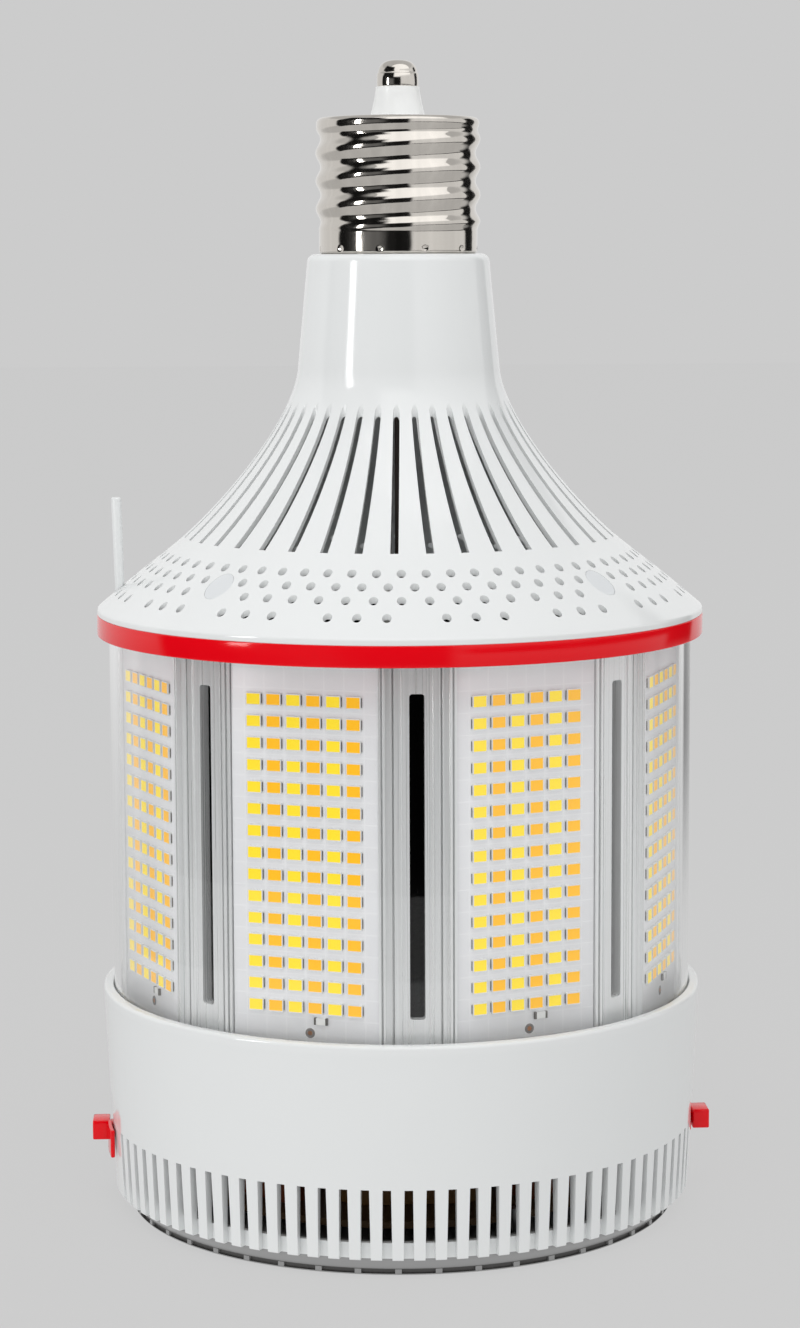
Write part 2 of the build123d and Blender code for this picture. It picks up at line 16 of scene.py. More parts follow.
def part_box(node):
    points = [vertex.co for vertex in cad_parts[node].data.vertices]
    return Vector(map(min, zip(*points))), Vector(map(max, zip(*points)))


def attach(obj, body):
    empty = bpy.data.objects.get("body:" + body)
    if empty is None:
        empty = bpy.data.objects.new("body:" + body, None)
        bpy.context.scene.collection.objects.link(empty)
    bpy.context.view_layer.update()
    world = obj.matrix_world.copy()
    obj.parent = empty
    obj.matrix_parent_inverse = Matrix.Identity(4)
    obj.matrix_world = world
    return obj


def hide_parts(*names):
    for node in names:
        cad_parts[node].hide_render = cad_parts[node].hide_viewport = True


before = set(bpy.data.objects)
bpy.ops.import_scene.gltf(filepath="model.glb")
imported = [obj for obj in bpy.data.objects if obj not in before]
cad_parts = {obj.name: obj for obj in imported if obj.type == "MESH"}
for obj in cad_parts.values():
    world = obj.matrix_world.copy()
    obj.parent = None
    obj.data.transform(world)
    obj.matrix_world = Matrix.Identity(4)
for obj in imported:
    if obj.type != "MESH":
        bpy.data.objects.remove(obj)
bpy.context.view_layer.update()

log = logging.getLogger("lamp")
MM = 0.001
WELD = 0.002 * MM
TOUCH = 1e-6
MERGE = 1e-7
QUARTER = pi / 2
FULL_TURN = 2 * pi
FRONT = -QUARTER
WHITE = (1.0, 1.0, 1.0, 1.0)

Point = tuple[float, float]
Triple = tuple[float, float, float]
Colour = Triple


class Body(Enum):
    """Bodies of the frame that pieces ride on."""

    LAMP = "lamp"
    POWER = "power_slider"
    COLOUR = "colour_slider"


def srgb(red: int, green: int, blue: int) -> Colour:
    """Turn an 8-bit screen colour into a linear one."""
    shares = (red / 255, green / 255, blue / 255)
    return tuple(s / 12.92 if s <= 0.04045 else ((s + 0.055) / 1.055) ** 2.4 for s in shares)


def polar(distance: float, side: float, angle: float) -> Point:
    """Return the point at a distance along a direction in radians and a step square to it."""
    along, across = cos(angle), sin(angle)
    return distance * along - side * across, distance * across + side * along


def bezier(start: Point, pull: Point, pull_end: Point, end: Point, steps: int) -> list[Point]:
    """Sample a cubic curve, both ends included.

    Args:
        start: first point.
        pull: handle of the first point.
        pull_end: handle of the last point.
        end: last point.
        steps: number of spans.

    Returns:
        The points along the curve.
    """
    points = []
    for k in range(steps + 1):
        t = k / steps
        s = 1 - t
        weights = (s**3, 3 * s * s * t, 3 * s * t * t, t**3)
        corners = (start, pull, pull_end, end)
        points.append(tuple(sum(w * c[axis] for w, c in zip(weights, corners)) for axis in (0, 1)))
    return points


def arc(centre: Point, radius: float, start: float, end: float, steps: int) -> list[Point]:
    """Sample a circular arc between two angles in degrees, both ends included."""
    turns = [radians(start + (end - start) * k / steps) for k in range(steps + 1)]
    return [(centre[0] + radius * cos(turn), centre[1] + radius * sin(turn)) for turn in turns]


def lathe(profile: list[Point], segments: int) -> BMesh:
    """Spin a closed outline of radius and height about the lamp's axis.

    Args:
        profile: corners of the outline, in order.
        segments: steps in the full turn.

    Returns:
        The closed turned shape.
    """
    bm = bmesh.new()
    verts = [bm.verts.new((r, 0.0, z)) for r, z in profile]
    edges = [bm.edges.new(pair) for pair in zip(verts, verts[1:] + verts[:1])]
    bmesh.ops.spin(
        bm, geom=verts + edges, cent=(0, 0, 0), axis=(0, 0, 1), angle=FULL_TURN, steps=segments,
        use_merge=True,
    )
    bmesh.ops.remove_doubles(bm, verts=bm.verts, dist=MERGE)
    bmesh.ops.recalc_face_normals(bm, faces=bm.faces)
    return bm


def prism(bm: BMesh, outline: list[Point], low: float, high: float) -> None:
    """Add an upright prism to a mesh.

    Args:
        bm: mesh that takes the prism.
        outline: corners in plan.
        low: height of the lower end.
        high: height of the upper end.
    """
    face = bm.faces.new([bm.verts.new((x, y, low)) for x, y in outline])
    grown = bmesh.ops.extrude_face_region(bm, geom=[face], use_keep_orig=True)["geom"]
    top = [v for v in grown if isinstance(v, BMVert)]
    bmesh.ops.translate(bm, verts=top, vec=(0, 0, high - low))


def block(bm: BMesh, size: Triple, place: Matrix) -> list[BMVert]:
    """Add a box to a mesh, with its middle at a place, and return its vertices."""
    return bmesh.ops.create_cube(bm, size=1.0, matrix=place @ Matrix.Diagonal((*size, 1.0)))["verts"]


def rod(
    bm: BMesh, radius: float, length: float, place: Matrix, segments: int, tip: float | None = None
) -> list[BMVert]:
    """Add a rod to a mesh, with its middle at a place and maybe another radius at its tip."""
    return bmesh.ops.create_cone(
        bm, cap_ends=True, segments=segments, radius1=radius, radius2=tip or radius, depth=length,
        matrix=place,
    )["verts"]


def shift(x: float, y: float, z: float) -> Matrix:
    """Return a plain move."""
    return Matrix.Translation((x, y, z))


def outward(angle: float, distance: float, level: float) -> Matrix:
    """Return the place of a panel that faces away from the axis: x sideways, y up and z outwards."""
    turn = Matrix.Rotation(angle + QUARTER, 4, "Z") @ Matrix.Rotation(QUARTER, 4, "X")
    return shift(*polar(distance, 0, angle), level) @ turn


def bevel(bm: BMesh, edges: list[BMEdge], width: float, segments: int, clamp: bool = False) -> None:
    """Round some edges of a mesh, and hold the rounds apart if clamped."""
    bmesh.ops.bevel(
        bm, geom=edges, offset=width, segments=segments, profile=0.5, affect="EDGES", material=-1,
        clamp_overlap=clamp,
    )


def round_edges(bm: BMesh, width: float, segments: int, angle: float = 40.0) -> None:
    """Round the edges of a mesh that are sharper than an angle.

    Args:
        bm: mesh to work on.
        width: width of the round.
        segments: steps across the round.
        angle: least angle in degrees of an edge that is rounded.
    """
    limit = radians(angle)
    sharp = [e for e in bm.edges if len(e.link_faces) == 2 and e.calc_face_angle() > limit]
    bevel(bm, sharp, width, segments, clamp=True)


def paint(verts: list[BMVert], index: int) -> None:
    """Give the faces at some vertices a material index."""
    for face in {f for v in verts for f in v.link_faces}:
        face.material_index = index


def link_mesh(bm: BMesh, name: str) -> Object:
    """Make an object of a mesh and put it in the scene.

    Args:
        bm: the finished mesh, which is freed.
        name: name of the object.

    Returns:
        The new object.
    """
    mesh = bpy.data.meshes.new(name)
    bm.to_mesh(mesh)
    bm.free()
    piece = bpy.data.objects.new(name, mesh)
    bpy.context.scene.collection.objects.link(piece)
    return piece


def carve(piece: Object, cutter: BMesh) -> None:
    """Cut a shape out of a piece and weld the slivers of the cut.

    Args:
        piece: object that is cut.
        cutter: closed shape that is taken away.
    """
    bmesh.ops.recalc_face_normals(cutter, faces=cutter.faces)
    tool = link_mesh(cutter, piece.name + "_cutter")
    cut = piece.modifiers.new("cut", "BOOLEAN")
    cut.operation = "DIFFERENCE"
    cut.solver = "MANIFOLD"
    cut.object = tool
    bpy.context.view_layer.update()
    result = bpy.data.meshes.new_from_object(piece.evaluated_get(bpy.context.evaluated_depsgraph_get()))
    piece.modifiers.clear()
    bm = bmesh.new()
    bm.from_mesh(result)
    bmesh.ops.dissolve_degenerate(bm, dist=WELD, edges=bm.edges)
    bm.to_mesh(result)
    bm.free()
    old = piece.data
    piece.data = result
    bpy.data.meshes.remove(old)
    bpy.data.objects.remove(tool)
    result.materials.clear()
    result.name = piece.name


def dress(
    piece: Object,
    finishes: list[Material],
    nodes: tuple[str, ...] = (),
    smooth: float = 32.0,
    body: Body = Body.LAMP,
) -> None:
    """Give a piece its finish, its body and the solids that it stands for.

    Args:
        piece: the modelled object.
        finishes: finishes, by material index.
        nodes: solids that it replaces.
        smooth: greatest angle in degrees that is shaded smooth.
        body: body that it rides on.
    """
    for material in finishes:
        piece.data.materials.append(material)
    piece.data.shade_smooth()
    piece.data.set_sharp_from_angle(angle=radians(smooth))
    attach(piece, body.value)
    if nodes:
        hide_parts(*nodes)
    log.info("%s: %d faces on %s", piece.name, len(piece.data.polygons), body.value)


class Graph:
    """Short calls that add and join the nodes of one tree."""

    def __init__(self, tree: NodeTree) -> None:
        """Hold the tree that the calls work on."""
        self.tree = tree

    def join(self, source: NodeSocket, target: NodeSocket) -> None:
        """Link an output to an input."""
        self.tree.links.new(source, target)

    def add(self, kind: str, values: dict | None = None, **settings: object) -> Node:
        """Add a shader node.

        Args:
            kind: type name of the node, after its first two words.
            values: numbers, or sockets to join, by input name or number.
            settings: properties of the node.

        Returns:
            The new node.
        """
        node = self.tree.nodes.new("ShaderNode" + kind)
        for key, value in settings.items():
            setattr(node, key, value)
        for key, value in (values or {}).items():
            if isinstance(value, NodeSocket):
                self.join(value, node.inputs[key])
            else:
                node.inputs[key].default_value = value
        return node

    def maths(self, operation: str, *values: object) -> NodeSocket:
        """Add a Math node for numbers or sockets and return its result."""
        return self.add("Math", dict(enumerate(values)), operation=operation).outputs[0]

    def mix(self, share: object, first: Node, second: Node) -> Node:
        """Mix two shaders by the share of the second one."""
        return self.add("MixShader", {0: share, 1: first.outputs[0], 2: second.outputs[0]})


class Effect(Graph):
    """A shader group that takes a colour and some values and gives a colour, a roughness and a normal."""

    def __init__(self, name: str, *values: str) -> None:
        """Begin a group.

        Args:
            name: name of the group.
            values: names of the values that it takes.
        """
        super().__init__(bpy.data.node_groups.new(name, "ShaderNodeTree"))
        sockets = [("INPUT", "Color", "Color"), *(("INPUT", label, "Float") for label in values)]
        results = {"Color": "Color", "Roughness": "Float", "Normal": "Vector"}
        sockets += [("OUTPUT", label, kind) for label, kind in results.items()]
        for way, label, kind in sockets:
            self.tree.interface.new_socket(label, in_out=way, socket_type="NodeSocket" + kind)
        self.given = self.tree.nodes.new("NodeGroupInput").outputs
        self.out = self.tree.nodes.new("NodeGroupOutput").inputs
        self.place = self.add("TexCoord").outputs["Object"]

    def bump(self, pattern: Node, distance: str, values: dict | None = None) -> NodeSocket:
        """Add a bump of a pattern's height, as deep as the named value, and return its normal."""
        inputs = {"Strength": 1.0, "Height": pattern.outputs["Fac"], "Distance": self.given[distance]}
        return self.add("Bump", inputs | (values or {})).outputs[0]

    def end(self, shade: NodeSocket, gloss: NodeSocket, normal: NodeSocket) -> NodeTree:
        """Put out the results.

        Args:
            shade: factor on the colour.
            gloss: the roughness.
            normal: the normal.

        Returns:
            The finished group.
        """
        tint = self.add("VectorMath", {0: self.given["Color"], "Scale": shade}, operation="SCALE")
        for label, socket in (("Color", tint.outputs[0]), ("Roughness", gloss), ("Normal", normal)):
            self.join(socket, self.out[label])
        return self.tree


@cache
def moulded_skin() -> NodeTree:
    """Build the group for a moulded skin: soft mottling, uneven gloss and a faint orange peel.

    Returns:
        The group.
    """
    group = Effect("moulded_skin", "Mottle", "Scale", "Roughness", "Depth")
    given = group.given
    cloud = group.add("TexNoise", {"Vector": group.place, "Scale": 45.0, "Detail": 3.0})
    grain = group.add("TexNoise", {"Vector": group.place, "Scale": given["Scale"], "Detail": 2.0})
    swing = group.maths("SUBTRACT", cloud.outputs["Fac"], 0.5)
    shade = group.maths("MULTIPLY_ADD", swing, given["Mottle"], 1.0)
    gloss = group.maths("MULTIPLY_ADD", swing, 0.12, given["Roughness"])
    return group.end(shade, gloss, group.bump(grain, "Depth"))


@cache
def drawn_metal() -> NodeTree:
    """Build the group for drawn metal: fine lines along the axis, bands of gloss, dents and rare specks.

    Returns:
        The group.
    """
    group = Effect("drawn_metal", "Lines", "Roughness", "Depth", "Specks", "Dents")
    given = group.given
    stretch = group.add("Mapping", {"Vector": group.place, "Scale": (1.0, 1.0, 0.006)})
    lines = group.add("TexNoise", {"Vector": stretch.outputs[0], "Scale": given["Lines"], "Detail": 3.0})
    swing = group.maths("SUBTRACT", lines.outputs["Fac"], 0.5)
    shade = group.maths("MULTIPLY_ADD", swing, 0.35, 1.0)
    fleck = group.add("TexVoronoi", {"Vector": group.place, "Scale": 110.0, "Randomness": 1.0})
    dark = group.maths("LESS_THAN", fleck.outputs["Distance"], given["Specks"])
    clean = group.maths("MULTIPLY_ADD", dark, -0.7, 1.0)
    gloss = group.maths("MULTIPLY_ADD", swing, 0.25, given["Roughness"])
    waves = group.add("TexNoise", {"Vector": group.place, "Scale": 130.0, "Detail": 2.0})
    dents = group.bump(waves, "Dents", {"Normal": group.bump(lines, "Depth")})
    return group.end(group.maths("MULTIPLY", shade, clean), gloss, dents)


class Surface(Graph):
    """A material with a plain surface shader."""

    def __init__(self, name: str, values: dict | None = None) -> None:
        """Start a material.

        Args:
            name: name of the material.
            values: input values of its shader.
        """
        self.material = bpy.data.materials.new(name)
        self.material.use_nodes = True
        self.material.node_tree.nodes.clear()
        super().__init__(self.material.node_tree)
        self.shader = self.add("BsdfPrincipled", values)
        self.output = self.add("OutputMaterial", {"Surface": self.shader.outputs[0]})

    def wear(self, group: NodeTree, values: dict) -> Material:
        """Put an effect on the shader.

        Args:
            group: the effect's group.
            values: its input values.

        Returns:
            The finished material.
        """
        effect = self.add("Group", values, node_tree=group).outputs
        for label, target in (("Color", "Base Color"), ("Roughness", "Roughness"), ("Normal", "Normal")):
            self.join(effect[label], self.shader.inputs[target])
        return self.material

    def show(self, shader: Node) -> Material:
        """Put out another shader than the plain one and return the material."""
        self.join(shader.outputs[0], self.output.inputs["Surface"])
        return self.material


@dataclass(frozen=True)
class MouldedPlastic:
    """A moulded plastic: colour, gloss, mottling, the grain of its skin and a painted glow."""

    name: str
    colour: Colour
    roughness: float = 0.3
    mottle: float = 0.05
    grain: float = 900.0
    depth: float = 0.01 * MM
    specular: float = 0.5
    glow: float = 0.0

    def build(self) -> Material:
        """Make the material.

        Returns:
            The material.
        """
        colour = (*self.colour, 1.0)
        # The emission is a painted glow that brightens a part which gives no light of its own.
        shine = {"Emission Color": colour, "Emission Strength": self.glow}
        shine |= {"Specular IOR Level": self.specular}
        skin = {"Color": colour, "Mottle": self.mottle, "Scale": self.grain}
        skin |= {"Roughness": self.roughness, "Depth": self.depth}
        return Surface(self.name, shine).wear(moulded_skin(), skin)


@dataclass(frozen=True)
class DrawnMetal:
    """A bright metal with fine lines along the axis."""

    name: str
    colour: Colour
    roughness: float = 0.2
    lines: float = 900.0
    depth: float = 0.01 * MM
    specks: float = 0.0
    metallic: float = 1.0
    dents: float = 0.0

    def build(self) -> Material:
        """Make the material.

        Returns:
            The material.
        """
        metal = {"Color": (*self.colour, 1.0), "Lines": self.lines, "Roughness": self.roughness}
        metal |= {"Depth": self.depth, "Specks": self.specks, "Dents": self.dents}
        return Surface(self.name, {"Metallic": self.metallic}).wear(drawn_metal(), metal)


@dataclass(frozen=True)
class ClearPlastic:
    """A see-through plastic that lets light fall on what is behind it."""

    name: str
    colour: Colour
    index: float = 1.45
    roughness: float = 0.02

    def build(self) -> Material:
        """Make the material.

        Returns:
            The material.
        """
        colour = (*self.colour, 1.0)
        glass = {"Base Color": colour, "Roughness": self.roughness, "IOR": self.index}
        surface = Surface(self.name, glass | {"Transmission Weight": 1.0})
        passing = surface.add("BsdfTransparent", {"Color": colour})
        path = surface.add("LightPath").outputs
        light = surface.maths("MAXIMUM", path["Is Shadow Ray"], path["Is Diffuse Ray"])
        mirrored = surface.maths("SUBTRACT", path["Is Glossy Ray"], path["Is Transmission Ray"])
        return surface.show(surface.mix(surface.maths("MAXIMUM", light, mirrored), surface.shader, passing))


@dataclass(frozen=True)
class BoardMask:
    """White solder mask with the faint grid of the copper below it."""

    name: str
    colour: Colour
    column: float
    row: float
    line: float = 0.2 * MM
    roughness: float = 0.32
    mottle: float = 0.06
    grain: float = 700.0
    depth: float = 0.01 * MM

    def build(self) -> Material:
        """Make the material.

        Returns:
            The material.
        """
        surface = Surface(self.name)
        cells = surface.add(
            "TexBrick",
            {
                "Vector": surface.add("UVMap", uv_map="board").outputs[0],
                "Scale": 1.0,
                "Mortar Size": self.line,
                "Mortar Smooth": 0.5,
                "Brick Width": self.column,
                "Row Height": self.row,
                "Color1": (*self.colour, 1.0),
                "Color2": (*(0.985 * c for c in self.colour), 1.0),
                "Mortar": (*(min(1.0, 1.05 * c) for c in self.colour), 1.0),
            },
            offset=0.0,
        )
        skin = {"Color": cells.outputs["Color"], "Mottle": self.mottle, "Scale": self.grain}
        skin |= {"Roughness": self.roughness, "Depth": self.depth}
        return surface.wear(moulded_skin(), skin)


def made(finish: MouldedPlastic | DrawnMetal | ClearPlastic | BoardMask) -> Field:
    """Return a field whose finish is built along with the set."""
    return field(default_factory=finish.build)


@dataclass(frozen=True)
class Finishes:
    """Every finish of the lamp, made once."""

    white: Material = made(
        MouldedPlastic("white_plastic", srgb(236, 238, 238), 0.11, mottle=0.02, depth=0.002 * MM)
    )
    insulator: Material = made(MouldedPlastic("insulator_white", srgb(246, 247, 246), 0.3))
    plug: Material = made(MouldedPlastic("plug_plastic", srgb(223, 226, 228), 0.4))
    antenna: Material = made(MouldedPlastic("antenna_white", srgb(234, 236, 236), 0.35))
    red: Material = made(
        MouldedPlastic("red_plastic", srgb(238, 2, 20), 0.12, mottle=0.04, depth=0.002 * MM, specular=0.35)
    )
    nickel: Material = made(
        DrawnMetal("nickel", srgb(212, 207, 200), 0.1, lines=300.0, depth=0.001 * MM, dents=0.15 * MM)
    )
    aluminium: Material = made(
        DrawnMetal("aluminium", srgb(248, 249, 249), 0.3, lines=1500.0, specks=0.00045, metallic=0.45)
    )
    # Painted shade: a dark finish for the core's inside faces, which are the same aluminium as the outside.
    painted_shade_inside: Material = made(DrawnMetal("core_inside_painted_shade", srgb(36, 36, 35), 0.55, depth=0.02 * MM))
    clear: Material = made(ClearPlastic("clear_plastic", (0.985, 0.988, 0.988)))
    mask: Material = made(BoardMask("board_white", srgb(248, 248, 250), 4.707 * MM, 4.969 * MM))
    chip_body: Material = made(MouldedPlastic("chip_body", srgb(240, 240, 238), 0.4))
    # The phosphors keep their own yellow and orange, with a painted glow that brightens them.
    yellow_phosphor_painted_glow: Material = made(
        MouldedPlastic("phosphor_yellow_painted_glow", srgb(255, 224, 36), 0.35, mottle=0.1, grain=3000.0, glow=0.28)
    )
    orange_phosphor_painted_glow: Material = made(
        MouldedPlastic("phosphor_orange_painted_glow", srgb(255, 188, 5), 0.35, mottle=0.1, grain=3000.0, glow=0.28)
    )
    solder: Material = made(DrawnMetal("solder", srgb(120, 116, 112), 0.35))
    copper: Material = made(DrawnMetal("copper_spot", srgb(206, 140, 92), 0.4))
    dark_ring: Material = made(MouldedPlastic("spot_ring", srgb(128, 122, 118), 0.5))
    smoke: Material = made(MouldedPlastic("smoke_plastic", srgb(158, 158, 158), 0.22, depth=0.003 * MM))
    # Painted shade: a darker grey for the rim's groove between the ribs.
    smoke_painted_shade: Material = made(MouldedPlastic("smoke_groove_painted_shade", srgb(84, 83, 82), 0.3))
    steel: Material = made(DrawnMetal("steel", srgb(150, 150, 152), 0.3))
    laminate: Material = made(MouldedPlastic("driver_laminate", srgb(96, 74, 48), 0.5, mottle=0.2))
    tape: Material = made(MouldedPlastic("transformer_tape", srgb(116, 84, 44), 0.4, mottle=0.2))
    sleeve: Material = made(MouldedPlastic("capacitor_sleeve", srgb(30, 30, 32), 0.4))
    film: Material = made(MouldedPlastic("film_plastic", srgb(120, 58, 30), 0.35))
    winding: Material = made(DrawnMetal("choke_winding", srgb(140, 80, 40), 0.4))
    nylon: Material = made(MouldedPlastic("connector_plastic", srgb(226, 222, 210), 0.4))
    brown_wire: Material = made(MouldedPlastic("brown_lead", srgb(62, 44, 36), 0.45))
    white_wire: Material = made(MouldedPlastic("white_lead", srgb(226, 224, 218), 0.45))


@dataclass
class ScrewBase:
    """Nickel screw shell with its rolled thread, the insulator and the centre contact."""

    finishes: Finishes
    thread_depth: float = 1.15 * MM
    thread_pitch: float = 6.5 * MM
    thread_fade: float = 0.35
    crest_level: float = 255.6 * MM
    thread_low: float = 236.2 * MM
    thread_high: float = 256.6 * MM
    bead_inset: float = 0.25 * MM
    edge_roll: float = 0.45 * MM
    band_inset: float = 0.75 * MM
    sheet: float = 0.6 * MM
    crown_rounding: float = 1.3 * MM
    mouth: float = 12.0 * MM
    row_step: float = 0.28 * MM
    segments: int = 288
    crimp_count: int = 11
    crimp_first: float = radians(-106.5)
    crimp_raise: float = 1.1 * MM
    crimp_reach: float = 0.75 * MM
    crimp_depth: float = 0.55 * MM
    cone_gap: float = 0.2 * MM
    cone_foot: float = 6.5 * MM
    cone_fillet: float = 0.2 * MM
    cone_pull: Point = (0.5 * MM, 2.4 * MM)
    cone_tip: float = 5.15 * MM
    tip_pull: Point = (0.25 * MM, 3.0 * MM)
    cone_bore: float = 1.4 * MM
    button_straight: float = 3.1 * MM
    button_ease: float = 0.1 * MM
    dome_start: Point = (0.25 * MM, 0.15 * MM)
    dome_pull: Point = (0.5 * MM, 1.1 * MM)
    dome_shares: Point = (0.66, 0.24)
    small_segments: int = 96

    def wave(self, angle: float, level: float) -> float:
        """Find how far the rolled wall lies inside the crest radius.

        Args:
            angle: direction about the axis.
            level: height of the point.

        Returns:
            The inward step.
        """
        turns = (level - self.crest_level) / self.thread_pitch - angle / FULL_TURN
        ridge = 0.5 - 0.5 * cos(FULL_TURN * turns)
        below = (self.thread_low - level) / (self.thread_fade * self.thread_pitch)
        fade = 1.0 - min(1.0, max(0.0, below))
        return self.thread_depth * ridge * fade + self.band_inset * (1.0 - fade)

    def crimp(self, angle: float, height: float, radius: float) -> float:
        """Find how deep a punched dent near the lower edge is.

        Args:
            angle: direction about the axis.
            height: height above the shell's lower edge.
            radius: radius of the wall.

        Returns:
            The inward step.
        """
        step = FULL_TURN / self.crimp_count
        off = (angle - self.crimp_first + step / 2) % step - step / 2
        away = hypot(off * radius, height - self.crimp_raise) / self.crimp_reach
        return self.crimp_depth * max(0.0, 1.0 - away)

    def shell(self) -> None:
        """Model the screw shell."""
        low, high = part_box("screw_shell")
        radius, wall_top = high.x, high.z - self.crown_rounding
        inner = radius - self.thread_depth - 2 * self.sheet
        rows = round((wall_top - low.z) / self.row_step)
        crown = (radius - self.bead_inset - self.crown_rounding, wall_top)
        bm = lathe(
            [
                *((radius, low.z + k * (wall_top - low.z) / rows) for k in range(rows + 1)),
                *arc(crown, self.crown_rounding, 0, 90, steps=8)[1:],
                (self.mouth, high.z), (self.mouth, high.z - self.sheet),
                (inner - self.sheet, high.z - self.sheet), (inner, high.z - 2 * self.sheet), (inner, low.z),
            ],
            self.segments,
        )
        for vert in bm.verts:
            across = hypot(vert.co.x, vert.co.y)
            if across < radius - TOUCH:
                continue
            angle = atan2(vert.co.y, vert.co.x)
            top = max(0.0, vert.co.z - self.thread_high) / (wall_top - self.thread_high)
            inset = self.wave(angle, vert.co.z)
            inset += (self.bead_inset - inset) * (0.5 - 0.5 * cos(pi * top))
            inset += self.crimp(angle, vert.co.z - low.z, across)
            inset += max(0.0, low.z + self.edge_roll - vert.co.z)
            vert.co.xy *= 1 - inset / across
        dress(link_mesh(bm, "threaded_shell"), [self.finishes.nickel], ("screw_shell",), smooth=50)

    def insulator(self) -> None:
        """Model the white cone under the contact."""
        top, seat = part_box("contact_insulator")[1].z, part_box("screw_shell")[1].z
        foot, edge, under = self.cone_foot, self.mouth - self.cone_gap, seat - 2 * self.sheet
        side = bezier(
            (foot, seat + self.cone_fillet),
            (foot - self.cone_pull[0], seat + self.cone_pull[1]),
            (self.cone_tip + self.tip_pull[0], top - self.tip_pull[1]),
            (self.cone_tip, top),
            steps=12,
        )
        profile = [(self.cone_bore, under), (edge, under), (edge, seat), (foot + 2 * self.cone_fillet, seat)]
        cone = lathe([*profile, *side, (self.cone_bore, top)], self.small_segments)
        finishes = [self.finishes.insulator]
        dress(link_mesh(cone, "contact_cone"), finishes, ("contact_insulator",), smooth=40)

    def contact(self) -> None:
        """Model the domed centre contact."""
        low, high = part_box("centre_contact")
        radius, ease, neck = high.x, self.button_ease, low.z + self.button_straight
        dome = bezier(
            (radius - self.dome_start[0], neck + self.dome_start[1]),
            (radius - self.dome_pull[0], high.z - self.dome_pull[1]),
            (self.dome_shares[0] * radius, high.z),
            (self.dome_shares[1] * radius, high.z),
            steps=14,
        )
        profile = [(0.0, low.z), (radius - ease, low.z), (radius, low.z + 3 * ease)]
        profile += [(radius, neck - ease), (radius - ease, neck), *dome, (0.0, high.z)]
        button = link_mesh(lathe(profile, self.small_segments), "contact_button")
        dress(button, [self.finishes.nickel], ("centre_contact",), smooth=45)

    def build(self) -> None:
        """Model all the pieces of the screw base."""
        self.shell()
        self.insulator()
        self.contact()


